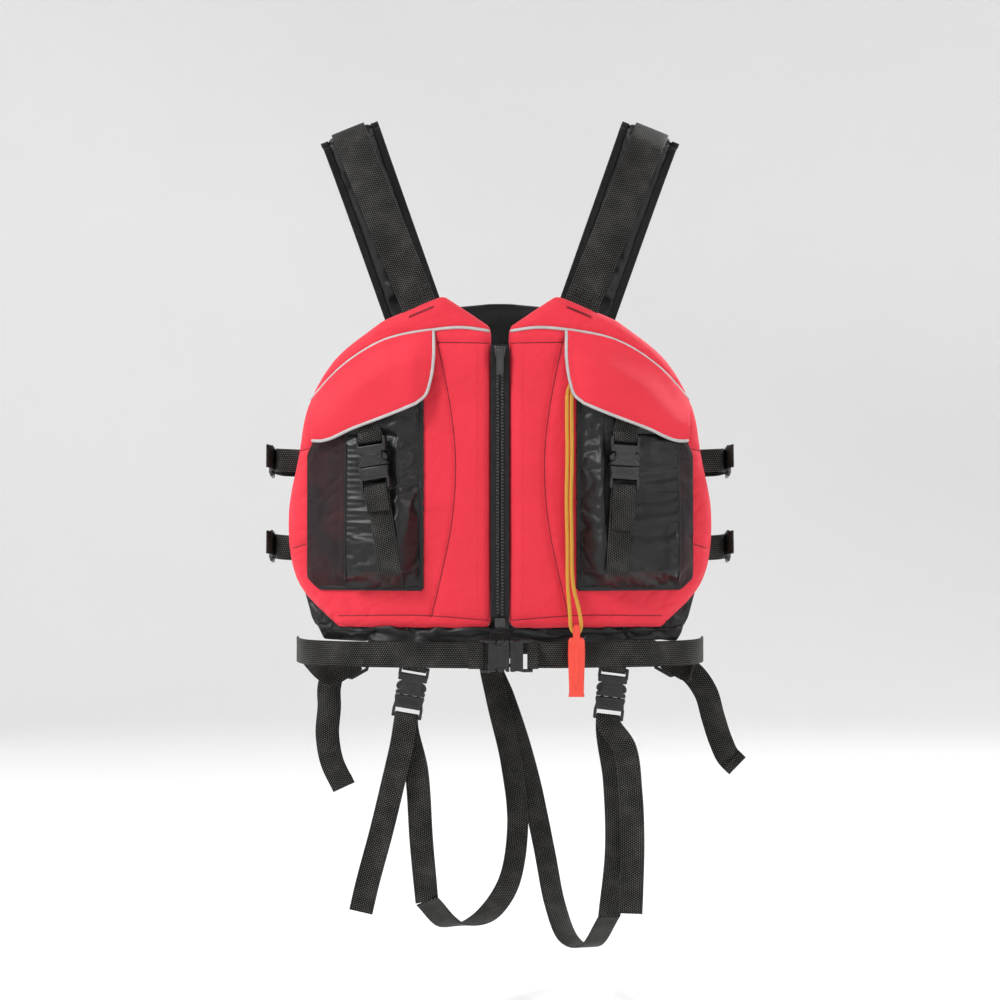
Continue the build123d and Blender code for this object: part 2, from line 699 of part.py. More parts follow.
def belt():
    place = hardware_plane(
        Vector(BELT_BUCKLE_X, -DEPTH / 2 - 10, BELT_Z), Vector(-1, 0, 0), Vector(0, -1, 0)
    )
    save(buckle_socket(place, BELT_W), "belt_socket")
    save(buckle_plug(place, BELT_W), "belt_plug")
    save(buckle_prongs(place, BELT_W), "belt_prongs")
    webs = []
    for name, side in SIDES.items():
        if name == "left":
            turn = bar_turn(place, SOCKET_L - BAR_R, -1)[::-1]
            start = [place.from_local_coords((0, SOCKET_L + 12, BAR_TURN))]
        else:
            turn = bar_turn(place, BAR_R - PLUG_L - 0.4, 1)[::-1]
            start = [place.from_local_coords((0, -PLUG_L - 12, BAR_TURN))]
        way = start + turn
        way += [on_panel(side * x, BELT_Z, BELT_R) for x in (60, 100, 140, 172)]
        way += [Vector(side * 205, -62, BELT_Z), Vector(side * 220, -20, BELT_Z)]
        way += [Vector(side * 223, 20, BELT_Z - 1)]
        lock_place = belt_lock_place(name)
        save(ladder_lock(lock_place, BELT_W), f"{name}_belt_lock")
        way.append(Vector(side * 222, 52, BELT_Z - 6))
        lock_across = lock_place.x_dir if lock_place.x_dir.Z > 0 else -lock_place.x_dir
        lock_way = local_points(lock_place, LOCK_WAY + ((26, -3.4),))
        tail = [Vector(*p) for p in BELT_TAILS[name]]
        ways = [UP] * (len(way) - 1) + [(UP * 2 + lock_across).normalized()] + [lock_across] * len(lock_way)
        ways += [Vector(side, 0.1, 0.8)] + [Vector(side, 0.1, 0.3)] * (len(tail) - 1)
        webs.append(ribbon(way + lock_way + tail, ways, BELT_W))
        loop = bar_turn(lock_place, LOCK_END_BAR, 1, LOCK_TURN)
        root = [on_panel(side * x, BELT_Z, BELT_R, 1) for x in (120, 40)]
        webs.append(ribbon(loop[::-1] + root, [lock_across] * 5 + [UP, UP], WEB))
    webs.append(ribbon([on_panel(x, BELT_Z, BELT_R - 2, 1) for x in (-150, -75, 0, 75, 150)], UP, BELT_W))
    with BuildPart() as belt_webs:
        add(webs)
    save(belt_webs, "belt_webs")


# ---------------------------------------------------------------- thigh straps
THIGH_BUCKLE = {"left": Vector(-95, -98, -600), "right": Vector(117, -93, -602)}
THIGH_LEAN = {"left": 0.17, "right": 0.12}
# hand-laid routes from the plug, under the wearer and up to the middle of the back belt
THIGH_ROUTES = {
    "left": [(-88, -103, -680), (-83, -98, -755), (-78, -72, -822), (-52, -22, -856), (-16, 34, -856),
             (10, 78, -826), (20, 100, -770), (12, 112, -690), (-4, 115.5, -620), (-12, 116.2, -578),
             (-12, 116.2, -546)],
    "right": [(121, -101, -690), (123, -100, -765), (116, -84, -836), (98, -36, -876), (76, 24, -880),
              (62, 76, -850), (50, 106, -790), (30, 120, -700), (4, 121, -620), (-12, 118.4, -578),
              (-12, 118, -546)],
}
THIGH_TAILS = {
    "left": [(-103, -110, -650), (-112, -115, -690), (-124, -118, -740), (-140, -116, -800),
             (-146, -115, -826)],
    "right": [(131, -108, -655), (137, -113, -700), (139, -116, -750), (138, -115, -800),
              (137, -114, -828)],
}


def thigh_straps():
    webs = []
    for name, side in SIDES.items():
        centre = THIGH_BUCKLE[name]
        place = hardware_plane(centre, Vector(THIGH_LEAN[name], 0, 1), Vector(0, -1, 0))
        save(buckle_socket(place), f"{name}_thigh_socket")
        save(buckle_plug(place), f"{name}_thigh_plug")
        save(buckle_prongs(place), f"{name}_thigh_prongs")
        across = place.x_dir
        hanger = bar_turn(place, SOCKET_L - BAR_R, -1)
        top = centre + Vector(THIGH_LEAN[name] * 52, 0, 52)
        end = place.from_local_coords((0, SOCKET_L + 9, BAR_TURN))
        webs.append(ribbon([top] + hanger + [end], across, WEB))
        turn = bar_turn(place, BAR_R - PLUG_L - 0.4, 1)
        route = [Vector(*p) for p in THIGH_ROUTES[name]][::-1]
        tail = [Vector(*p) for p in THIGH_TAILS[name]]
        count = len(route)
        ways = [Vector(1, 0.3, 0) if 2 < i < count - 2 else Vector(1, 0, 0) for i in range(count)]
        ways += [across] * (len(turn) + len(tail))
        webs.append(ribbon(route + turn + tail, ways, WEB))
    with BuildPart() as thigh_webs:
        add(webs)
    save(thigh_webs, "thigh_webs")


# ---------------------------------------------------------------- whistle and lanyard
# hand-laid points of the doubled lanyard: down one strand, round the whistle's pin and up the other
LANYARD = [
    (70.5, -112.5, -284), (70, -112.8, -306), (71, -113.2, -345), (69.5, -113, -392), (71, -113.5, -440),
    (70.5, -115, -480), (73, -118, -510), (74.1, -120, -533), (85.9, -120, -533), (83.5, -118, -510),
    (75.4, -115, -482), (75.5, -113.5, -440), (74.5, -113, -392), (75.8, -113.2, -345), (75, -112.8, -306),
    (75.3, -112.5, -284),
]
ARC_SHARE = 0.45  # an arc starts this share of the shorter run away from its corner
WHISTLE_PIN = Vector(80, -120, -527.7)


def corner_radii(points):
    radii = []
    for a, b, c in zip(points, points[1:], points[2:]):
        a, b, c = Vector(*a), Vector(*b), Vector(*c)
        turn = radians((b - a).get_angle(c - b))
        run = min((b - a).length, (c - b).length)
        radii.append(ARC_SHARE * run / tan(turn / 2))
    return radii


def whistle_and_lanyard():
    radii = corner_radii(LANYARD)
    print("lanyard radii", [round(r, 1) for r in radii])
    with BuildPart() as lanyard:
        with BuildLine() as route:
            FilletPolyline(*LANYARD, radius=radii)
        way = route.wires()[0]
        with BuildSketch(Plane(origin=way @ 0, z_dir=way % 0)):
            Circle(CORD_D / 2)
        sweep(path=way)
    filled = lanyard.part.volume / (pi * CORD_D**2 / 4 * way.length)
    print("lanyard length", round(way.length, 1), "volume ratio", round(filled, 4))
    save(lanyard, "lanyard")

    top, foot = -538.0, -600.0
    with BuildPart() as whistle:
        with BuildSketch(Plane.XY.offset(foot)):
            with Locations((WHISTLE_PIN.X, WHISTLE_PIN.Y)):
                RectangleRounded(18, 12, 5)
        extrude(amount=top - foot)
        for y in (-6, 3):
            with BuildSketch(Plane.XZ.offset(-WHISTLE_PIN.Y - y - 3)):
                with Locations((WHISTLE_PIN.X, -534)):
                    SlotCenterToCenter(12, 7, rotation=90)
            extrude(amount=3)
        with Locations(WHISTLE_PIN):
            Cylinder(2.6, 12, rotation=(90, 0, 0))
    save(whistle, "whistle")


# ---------------------------------------------------------------- bar tacks
def bar_tacks():
    """Close stitching where the shoulder webs enter the strap bases, front and back."""
    with BuildPart() as tacks:
        for side in SIDES.values():
            for facing in (-1, 1):
                middle = strap_point(side, 0, STRAP_RUN + 7)
                centre = on_panel(middle.X, middle.Z, PANEL_R + 0.8, facing)
                out = out_of_panel(middle.X, PANEL_R, facing)
                across = shoulder_across(side)
                across = (across - out * across.dot(out)).normalized()
                with BuildSketch(Plane(origin=centre, x_dir=across, z_dir=out)):
                    RectangleRounded(28, 3, 1)
                extrude(amount=0.8)
    save(tacks, "bar_tacks")


def main():
    os.makedirs("parts", exist_ok=True)
    panels()
    hems()
    zip_parts()
    pockets()
    pocket_straps()
    shoulders()
    side_straps()
    belt()
    thigh_straps()
    whistle_and_lanyard()
    bar_tacks()


main()
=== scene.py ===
from math import cos, pi, radians, sin, sqrt

import bpy
import numpy as np
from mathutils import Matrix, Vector, geometry
from mathutils.bvhtree import BVHTree
from mathutils.noise import noise


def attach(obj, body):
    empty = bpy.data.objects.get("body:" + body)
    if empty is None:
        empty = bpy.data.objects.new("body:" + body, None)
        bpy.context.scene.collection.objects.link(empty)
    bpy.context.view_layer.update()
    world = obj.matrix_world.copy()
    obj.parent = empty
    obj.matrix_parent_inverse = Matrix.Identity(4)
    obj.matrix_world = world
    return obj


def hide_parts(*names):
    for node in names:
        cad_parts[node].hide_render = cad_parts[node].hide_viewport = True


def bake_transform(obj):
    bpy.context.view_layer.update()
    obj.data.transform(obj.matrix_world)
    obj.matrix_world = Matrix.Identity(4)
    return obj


# A life jacket held up by its shoulder straps. Lengths in this script are millimetres, in the frame of the
# CAD model, and piece() turns them into metres. In names, left is the side of -X.
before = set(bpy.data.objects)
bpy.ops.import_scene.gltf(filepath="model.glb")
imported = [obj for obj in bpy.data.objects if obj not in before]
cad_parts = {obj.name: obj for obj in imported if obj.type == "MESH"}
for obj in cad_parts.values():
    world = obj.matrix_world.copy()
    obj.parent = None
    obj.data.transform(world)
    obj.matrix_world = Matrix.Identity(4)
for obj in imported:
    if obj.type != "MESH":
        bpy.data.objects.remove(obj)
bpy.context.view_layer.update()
MM = 0.001
SIDES = {"left": -1, "right": 1}

# ---------------------------------------------------------------- driving dimensions, as in the CAD model
PANEL_R = 520.0
DEPTH = 224.0
AXIS_Y = PANEL_R - DEPTH / 2
PANEL_T = 39.4
ZIP_GAP = 9.5
FRONT_FOOT, HEM_FOOT = -530.0, -546.0
STRAP_TILT, STRAP_TOP_X, STRAP_RUN = radians(22), 162.0, 203.0
PAD_T, PAD_W, BINDING_W = 11.0, 50.0, 8.5
SHOULDER_WEB, WEB, BELT_W, WEB_T = 38.0, 25.0, 27.0, 1.4
POCKET_IN, POCKET_OUT, POCKET_FOOT = 81.0, 206.0, -489.0
POCKET_SPLIT = {"left": 163.0, "right": 190.0}
BUCKLE_T, SOCKET_L, PLUG_L = 10.0, 31.0, 24.0
BAR_R, BAR_TURN = 1.9, 3.3
LOCK_T, LOCK_END_BAR, LOCK_TURN = 3.4, -11.75, 3.4
BELT_Z, BELT_R = -557.0, 524.0
ZIP_TOP, ZIP_FOOT = -230.0, -518.0
ZIP_Y = -DEPTH / 2 + 6
CORD_D = 4.0
YOKE_SEAM = ((11, -216), (40, -212.5), (70, -214.5), (125, -226), (168, -252), (203, -287))
BACK_SEAM = ((-176, -304), (-138, -260), (-100, -249), (0, -249), (100, -249), (138, -260), (176, -304))
PRINCESS_SEAM = ((68, -219), (58, -265), (51.5, -301), (47.3, -341), (51.5, -422), (61, -469), (72.5, -518))
FLAP_HINGE = ((70.0, -216.0), (203.0, -290.0))


# ---------------------------------------------------------------- materials
class Material:
    """A procedural material that is built up node by node around one Principled shader."""

    def __init__(self, name, roughness, **sockets):
        self.made = bpy.data.materials.new(name)
        self.made.use_nodes = True
        self.tree = self.made.node_tree
        self.shader = self.tree.nodes["Principled BSDF"]
        self.shader.inputs["Roughness"].default_value = roughness
        for socket, value in sockets.items():
            self.shader.inputs[socket.replace("_", " ")].default_value = value

    def link(self, source, target):
        self.tree.links.new(source, target)

    def node(self, kind, settings=None, **inputs):
        made = self.tree.nodes.new(kind)
        for name, value in (settings or {}).items():
            setattr(made, name, value)
        for name, value in inputs.items():
            socket = made.inputs[int(name[1:])] if name[1:].isdigit() else made.inputs[name.replace("_", " ")]
            if isinstance(value, bpy.types.NodeSocket):
                self.link(value, socket)
            else:
                socket.default_value = value
        return made

    def place(self, attribute=None):
        """Coordinates in metres: of the row frame, or along and across a strip that holds them."""
        if attribute:
            return self.node("ShaderNodeAttribute", {"attribute_name": attribute}).outputs["Vector"]
        return self.node("ShaderNodeTexCoord").outputs["Object"]

    def math(self, operation, a, b=0.0, c=0.0):
        return self.node("ShaderNodeMath", {"operation": operation}, i0=a, i1=b, i2=c).outputs[0]

    def noise(self, place, scale, detail=3.0, stretch=(1, 1, 1)):
        moved = self.node("ShaderNodeMapping", Vector=place, Scale=stretch)
        made = self.node("ShaderNodeTexNoise", Vector=moved.outputs[0], Scale=scale, Detail=detail)
        return made.outputs[0]

    def ripples(self, place, axis, pitch):
        """A sine of the given pitch in metres along one axis of the coordinates, from -1 to 1."""
        part = self.node("ShaderNodeSeparateXYZ", Vector=place).outputs[axis]
        return self.math("SINE", self.math("MULTIPLY", part, 2 * pi / pitch))

    def spread(self, value, low, high, to_low, to_high):
        made = self.node("ShaderNodeMapRange", Value=value)
        for socket, number in zip(("From Min", "From Max", "To Min", "To Max"), (low, high, to_low, to_high)):
            made.inputs[socket].default_value = number
        return made.outputs[0]

    def colours(self, factor, dark, light):
        made = self.node("ShaderNodeMix", {"data_type": "RGBA"})
        self.link(factor, made.inputs[0])
        made.inputs[6].default_value = (*dark, 1)
        made.inputs[7].default_value = (*light, 1)
        self.link(made.outputs[2], self.shader.inputs["Base Color"])
        return made

    def rough(self, value, low, high):
        self.link(self.spread(value, 0.3, 0.7, low, high), self.shader.inputs["Roughness"])

    def bump(self, height, depth, under=None):
        made = self.node("ShaderNodeBump", Height=height, Strength=1.0, Distance=depth)
        if under is not None:
            self.link(under, made.inputs["Normal"])
        self.link(made.outputs[0], self.shader.inputs["Normal"])
        return made.outputs[0]


def plain_weave(name, dark, light, pitch, depth, roughness, attribute=None, axes=(0, 2), **sockets):
    """Threads over and under each other along two axes, with slow and fine variation of tone."""
    made = Material(name, roughness, **sockets)
    place = made.place(attribute)
    over = made.ripples(place, axes[0], pitch)
    under = made.ripples(place, axes[1], pitch)
    weave = made.math("MULTIPLY", over, under)
    tone = made.noise(place, 14.0, 4.0)
    fibre = made.noise(place, 900.0, 2.0)
    mixed = made.math("ADD", made.spread(weave, -1, 1, 0.0, 0.35), made.spread(tone, 0.3, 0.7, 0.1, 0.5))
    mixed = made.math("ADD", mixed, made.spread(fibre, 0.3, 0.7, -0.1, 0.15))
    made.colours(mixed, dark, light)
    broad = made.bump(made.noise(place, 9.0, 3.0, (1.0, 1.0, 0.6)), 0.008)
    soft = made.bump(made.noise(place, 60.0, 3.0), 0.0006, broad)
    made.bump(weave, depth, soft)
    return made


def red_fabric():
    made = plain_weave("red_fabric", (0.66, 0.01, 0.026), (0.9, 0.026, 0.06), 0.0011, 0.00008, 0.72)
    made.shader.inputs["Sheen Weight"].default_value = 0.25
    made.shader.inputs["Sheen Roughness"].default_value = 0.5
    made.shader.inputs["Sheen Tint"].default_value = (1.0, 0.35, 0.4, 1)
    return made.made


def nylon(name, dark, light, rough_low, rough_high):
    """Shiny coated nylon: a fine ripstop weave under a sheen that varies with the creases."""
    made = plain_weave(name, dark, light, 0.0009, 0.00003, rough_low)
    made.shader.inputs["Specular IOR Level"].default_value = 0.36
    place = made.place()
    creases = made.noise(place, 17.0, 3.0, (1.0, 1.0, 0.55))
    made.rough(creases, rough_low, rough_high)
    below = made.bump(made.noise(place, 11.0, 2.0, (1.0, 0.6, 0.7)), 0.006)
    below = made.bump(creases, 0.0035, below)
    folds = made.noise(place, 9.0, 1.0, (1.0, 0.5, 1.0))
    ridge = made.math("ABSOLUTE", made.math("SUBTRACT", folds, 0.5))
    below = made.bump(made.spread(ridge, 0.0, 0.12, 1.0, 0.0), 0.003, below)
    made.bump(made.noise(place, 260.0, 2.0), 0.00012, below)
    return made.made


def webbing(name, dark, light, across=0.0021, along=0.0025, depth=0.00035):
    """Woven polypropylene: rows of floats, each row set off by half a float from the next. The crowns of the
    floats are coloured light as painted highlight on black webbing.
    """
    made = Material(name, 0.55, Specular_IOR_Level=0.12)
    place = made.place("lay")
    rows = made.ripples(place, 0, across)
    split = made.node("ShaderNodeSeparateXYZ", Vector=place)
    row = made.math("FLOOR", made.math("DIVIDE", split.outputs[0], across))
    turned = made.math("MULTIPLY_ADD", split.outputs[1], 2 * pi / along, made.math("MULTIPLY", row, pi))
    floats = made.math("SINE", turned)
    float_relief_and_highlight = made.math("MULTIPLY", made.spread(rows, -1, 1, 0.3, 1.0), made.spread(floats, -1, 1, 0.0, 1.0))
    float_relief_and_highlight = made.spread(float_relief_and_highlight, 0.3, 0.95, 0.0, 1.0)
    fibre = made.noise(place, 2200.0, 2.0, (1.0, 0.25, 1.0))
    tone = made.noise(place, 40.0, 3.0)
    mixed = made.math("ADD", float_relief_and_highlight, made.spread(fibre, 0.3, 0.7, -0.15, 0.15))
    mixed = made.math("ADD", mixed, made.spread(tone, 0.3, 0.7, -0.15, 0.15))
    # Colour: dark hollows and light float crowns. The weave is real; the light on the crowns is painted
    # highlight.
    made.colours(mixed, dark, light)
    made.rough(fibre, 0.42, 0.62)
    made.bump(mixed, depth)
    return made.made


def twill(name, dark, light, pitch=0.0014):
    """Narrow woven tape with diagonal ribs."""
    made = Material(name, 0.6, Specular_IOR_Level=0.12)
    place = made.place("lay")
    split = made.node("ShaderNodeSeparateXYZ", Vector=place)
    slant = made.math("ADD", split.outputs[0], split.outputs[1])
    ribs = made.math("SINE", made.math("MULTIPLY", slant, 2 * pi / pitch))
    threads = made.ripples(place, 0, pitch * 0.8)
    mixed = made.math("ADD", made.spread(ribs, -1, 1, 0.1, 0.7), made.spread(threads, -1, 1, 0, 0.25))
    mixed = made.math("ADD", mixed, made.spread(made.noise(place, 150.0), 0.3, 0.7, -0.1, 0.1))
    made.colours(mixed, dark, light)
    made.bump(mixed, 0.00015)
    return made.made


def pocket_mesh():
    """Black netting: dark threads round small holes, through which the red shows faintly."""
    made = Material("black_mesh", 0.6, Specular_IOR_Level=0.12)
    place = made.place()
    moved = made.node("ShaderNodeMapping", Vector=place, Rotation=(0, radians(45), 0), Scale=(1, 0.02, 1))
    first = made.ripples(moved.outputs[0], 0, 0.0017)
    second = made.ripples(moved.outputs[0], 2, 0.0017)
    holes = made.math("MULTIPLY", made.spread(first, -1, 1, 0, 1), made.spread(second, -1, 1, 0, 1))
    opened = made.spread(holes, 0.35, 0.7, 0, 1)
    patch = made.spread(made.noise(place, 22.0, 2.0), 0.4, 0.65, 0.25, 1.0)
    made.colours(made.math("MULTIPLY", opened, patch), (0.018, 0.018, 0.019), (0.16, 0.022, 0.03))
    made.bump(made.math("MULTIPLY", opened, -1.0), 0.0003)
    return made.made


def moulded(name, colour, roughness, speckle=1800.0, worn=1.35, **sockets):
    """Moulded plastic: fine grain, faint flow marks and slightly polished high spots."""
    made = Material(name, roughness, **sockets)
    place = made.place()
    flow = made.noise(place, 90.0, 4.0)
    light = tuple(min(1.0, c * worn) for c in colour)
    made.colours(made.spread(flow, 0.35, 0.7, 0, 1), colour, light)
    made.rough(flow, roughness * 0.85, roughness * 1.2)
    made.bump(made.noise(place, speckle, 1.0), 0.00004)
    return made.made


def braided(name, dark, light):
    """A round braid: two diagonal sets of strands crossing."""
    made = Material(name, 0.55)
    place = made.place()
    split = made.node("ShaderNodeSeparateXYZ", Vector=place)
    waves = []
    for way in (1, -1):
        slant = made.math("MULTIPLY_ADD", split.outputs[0], way * 1.3, split.outputs[2])
        waves.append(made.math("SINE", made.math("MULTIPLY", slant, 2 * pi / 0.0022)))
    braid = made.math("MULTIPLY", waves[0], waves[1])
    made.colours(made.spread(braid, -1, 1, 0, 1), dark, light)
    made.bump(braid, 0.0004)
    return made.made


def reflective_tape():
    made = Material("reflective_piping", 0.38, Specular_IOR_Level=0.7)
    place = made.place("lay")
    grid = made.math("MULTIPLY", made.ripples(place, 0, 0.0012), made.ripples(place, 1, 0.0012))
    tone = made.noise(place, 60.0, 3.0)
    made.colours(made.math("ADD", made.spread(grid, -1, 1, 0, 0.5), made.spread(tone, 0.3, 0.7, 0, 0.5)),
                 (0.38, 0.37, 0.37), (0.62, 0.61, 0.6))
    made.bump(grid, 0.00006)
    return made.made


def thread(name, dark, light):
    made = Material(name, 0.5)
    place = made.place()
    twist = made.noise(place, 2500.0, 2.0)
    made.colours(made.spread(twist, 0.3, 0.7, 0, 1), dark, light)
    made.bump(twist, 0.0001)
    return made.made


RED = red_fabric()
NYLON = nylon("black_nylon", (0.003, 0.003, 0.0035), (0.012, 0.012, 0.013), 0.3, 0.5)
LINING = nylon("black_lining", (0.003, 0.003, 0.0035), (0.009, 0.009, 0.01), 0.3, 0.5)
NETTING = pocket_mesh()
# Black webbing: its light colour is painted highlight on the crowns of the floats.
WEBBING = webbing("webbing", (0.002, 0.002, 0.002), (0.13, 0.125, 0.115))
BINDING = twill("binding", (0.003, 0.003, 0.003), (0.03, 0.03, 0.031))
ZIP_TAPE = twill("zip_tape", (0.004, 0.004, 0.0045), (0.032, 0.032, 0.034), 0.0011)
REFLECTIVE = reflective_tape()
BUCKLE = moulded("buckle_plastic", (0.009, 0.009, 0.0095), 0.3, Specular_IOR_Level=0.5)
ZIP_PLASTIC = moulded("zip_plastic", (0.03, 0.03, 0.032), 0.18, Specular_IOR_Level=0.6)
ORANGE = moulded("whistle_orange", (0.8, 0.062, 0.036), 0.3, worn=1.06)
YELLOW = braided("lanyard_yellow", (0.72, 0.28, 0.02), (1.0, 0.6, 0.085))
BRASS = moulded("eyelet", (0.03, 0.03, 0.032), 0.3, Metallic=0.8)
HOOK = plain_weave("hook_and_loop", (0.004, 0.004, 0.004), (0.03, 0.03, 0.031), 0.0016, 0.0004, 0.9).made
RED_THREAD = thread("red_thread", (0.33, 0.006, 0.016), (0.6, 0.014, 0.034))
# Dark red thread colour for the tubes of painted seam shadow.
SEAM_SHADE = thread("seam_shade", (0.09, 0.002, 0.005), (0.2, 0.004, 0.01))
BLACK_THREAD = thread("black_thread", (0.01, 0.01, 0.01), (0.05, 0.05, 0.05))


# ---------------------------------------------------------------- places
def on_panel(x, z, r=PANEL_R, facing=-1):
    return np.array((x, facing * (sqrt(r * r - x * x) - AXIS_Y), z), float)


def layer_radius(points, facing):
    """How far points lie from the axis of the front's or the back's curve."""
    return np.hypot(points[:, 0], facing * points[:, 1] + AXIS_Y)


def shift_radius(points, facing, amount):
    """Moves points out of the curved panel by amount, an array or a number."""
    r = layer_radius(points, facing)
    scale = (r + amount) / r
    moved = points.copy()
    moved[:, 0] = points[:, 0] * scale
    moved[:, 1] = facing * ((facing * points[:, 1] + AXIS_Y) * scale - AXIS_Y)
    return moved


def lengths_along(points):
    """The distance along a polyline from its first point to each point."""
    return np.concatenate([[0], np.cumsum(np.linalg.norm(np.diff(points, axis=0), axis=1))])


def unit_rows(vectors):
    return vectors / np.linalg.norm(vectors, axis=1)[:, None]


def smooth_path(points, step):
    """Points about step apart along a smooth curve through the given ones."""
    p = np.array([tuple(q) for q in points], float)
    h = np.linalg.norm(np.diff(p, axis=0), axis=1)
    t = np.concatenate([[0], np.cumsum(h)])
    slope = np.diff(p, axis=0) / h[:, None]
    before, after = h[:-1, None], h[1:, None]
    middle = (slope[:-1] * after + slope[1:] * before) / (before + after)
    m = np.vstack([slope[:1], middle, slope[-1:]])
    at = np.linspace(0, t[-1], max(2, round(t[-1] / step) + 1))
    i = np.clip(np.searchsorted(t, at, side="right") - 1, 0, len(h) - 1)
    run = h[i][:, None]
    u = ((at - t[i]) / h[i])[:, None]
    near = (2 * u**3 - 3 * u**2 + 1) * p[i] + (u**3 - 2 * u**2 + u) * run * m[i]
    return near + (-2 * u**3 + 3 * u**2) * p[i + 1] + (u**3 - u**2) * run * m[i + 1]


def straight_path(points, step):
    """Points about step apart along straight runs, corners kept."""
    p = np.array([tuple(q) for q in points], float)
    runs = []
    for a, b in zip(p, p[1:]):
        count = max(1, round(float(np.linalg.norm(b - a)) / step))
        runs.append(a + (b - a) * np.linspace(0, 1, count, endpoint=False)[:, None])
    return np.vstack([*runs, p[-1:]])


def mirrored(points, side):
    return [(side * p[0], *p[1:]) for p in points]


def distance_to(points, line):
    """The distance of each 2-D point to a polyline."""
    best = np.full(len(points), 1e9)
    for a, b in zip(line, line[1:]):
        run = b - a
        t = np.clip(((points - a) @ run) / max(run @ run, 1e-9), 0, 1)
        best = np.minimum(best, np.linalg.norm(points - a - t[:, None] * run, axis=1))
    return best


def strap_point(side, y, s, across=0.0):
    x = STRAP_TOP_X - s * sin(STRAP_TILT) + across * cos(STRAP_TILT)
    return Vector((side * x, y, -s * cos(STRAP_TILT) - across * sin(STRAP_TILT)))


# ---------------------------------------------------------------- making pieces
SHARP_ANGLE = radians(38)  # moulded edges sharper than this are shaded as edges
SELVEDGE = 0.45  # how thick webbing is at its edge, as a share of its thickness
THREAD_SIDES = 5
TOPSTITCH = {"length": 2.4, "gap": 1.4, "radius": 0.22, "lift": -0.05}


def add_object(name, data):
    made = bpy.data.objects.new(name, data)
    bpy.context.scene.collection.objects.link(made)
    return made


def evaluated(made):
    return made.evaluated_get(bpy.context.evaluated_depsgraph_get())


def dress(node, material):
    """Gives a CAD node that stays visible its material."""
    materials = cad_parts[node].data.materials
    materials.clear()
    materials.append(material)


def piece(name, points, faces, material, slot, body="jacket", replaces=(), lay=None, ride=True):
    """A mesh object from millimetre points, riding on a body and standing for CAD nodes."""
    mesh = bpy.data.meshes.new(name)
    mesh.from_pydata((np.array(points, float) * MM).tolist(), [], [tuple(int(i) for i in f) for f in faces])
    mesh.validate()
    mesh.shade_smooth()
    if lay is not None:
        held = mesh.attributes.new("lay", "FLOAT_VECTOR", "POINT")
        held.data.foreach_set("vector", (np.array(lay, float) * MM).ravel())
    mesh.materials.append(material)
    made = add_object(name, mesh)
    if ride:
        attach(made, body)
    if replaces:
        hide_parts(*replaces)
    return made


def coordinates(made):
    co = np.empty(len(made.data.vertices) * 3)
    made.data.vertices.foreach_get("co", co)
    return co.reshape(-1, 3) / MM


def set_coordinates(made, points):
    made.data.vertices.foreach_set("co", (points * MM).ravel())
    made.data.update()


def apply_modifiers(made):
    """Bakes an object's modifiers into its mesh."""
    fresh = bpy.data.meshes.new_from_object(evaluated(made))
    made.modifiers.clear()
    made.data = fresh


def subdivide(made, levels=1):
    made.modifiers.new("subdivision", "SUBSURF").levels = levels
    apply_modifiers(made)


def fill_outline(outline, step):
    """A triangulated flat region: its 2-D points and faces, with inner points step apart."""
    low, high = outline.min(0), outline.max(0)
    count = len(outline)
    inner = []
    rows = np.arange(low[1] + step / 2, high[1], step * 0.87)
    for k, v in enumerate(rows):
        for u in np.arange(low[0] + (k % 2) * step / 2, high[0], step):
            inner.append((u, v))
    inner = np.array(inner)
    closed = np.vstack([outline, outline[:1]])
    inner = inner[distance_to(inner, closed) > step * 0.5]
    verts = [Vector(p) for p in np.vstack([outline, inner])]
    found = geometry.delaunay_2d_cdt(verts, [], [list(range(count))], 1, 1e-5)
    points = np.array([tuple(v) for v in found[0]])
    return points, [list(f) for f in found[2]], closed


def grid_faces(rows, columns, wrap=False):
    faces = []
    for i in range(rows - 1):
        for j in range(columns if wrap else columns - 1):
            k = (j + 1) % columns
            faces.append((i * columns + j, i * columns + k, (i + 1) * columns + k, (i + 1) * columns + j))
    return faces


def tube_faces(rows, columns):
    """The faces of a tube of rings, with both ends closed."""
    last = (rows - 1) * columns
    ends = [tuple(range(columns))[::-1], tuple(last + j for j in range(columns))]
    return grid_faces(rows, columns, wrap=True) + ends


def web(name, points, ways, width, material=None, thickness=WEB_T, step=2.5, slot="webbing", curl=0.25,
        body="jacket", replaces=(), ride=True, smooth=True):
    """Flat webbing along points, with thin selvedges; ways holds its width direction at each point."""
    material = material or WEBBING
    ways = ways if isinstance(ways, list) else [ways] * len(points)
    raw = np.array([tuple(p) for p in points], float)
    line = smooth_path(raw, step) if smooth else straight_path(raw, step)
    at = lengths_along(raw)
    here = np.linspace(0, at[-1], len(line))
    sides = np.array([Vector(w).normalized()[:] for w in ways], float)
    sides = np.stack([np.interp(here, at, sides[:, k]) for k in range(3)], axis=1)
    ahead = unit_rows(np.gradient(line, axis=0))
    sides = unit_rows(sides - ahead * np.sum(sides * ahead, axis=1)[:, None])
    out = np.cross(sides, ahead)
    shares = (-1, -0.95, -0.6, -0.2, 0.2, 0.6, 0.95, 1)
    upper = [(u, 1.0 if abs(u) < 1 else SELVEDGE) for u in shares]
    ring = upper + [(u, -h) for u, h in upper[::-1]]
    verts, lay = [], []
    for p, s, o, v in zip(line, sides, out, lengths_along(line)):
        wave = curl * noise(Vector((v * 0.03, len(name) * 3.7, raw[0][2] * 0.01)))
        for u, h in ring:
            ripple = curl * 0.5 * noise(Vector((v * 0.05 + 9, u * 1.3, len(name))))
            verts.append(p + s * u * width / 2 + o * (h * thickness / 2 + wave * u * u + ripple))
            lay.append((u * width / 2 + 50, v, 0))
    faces = tube_faces(len(line), len(ring))
    return piece(name, verts, faces, material, slot, body, replaces, lay, ride)


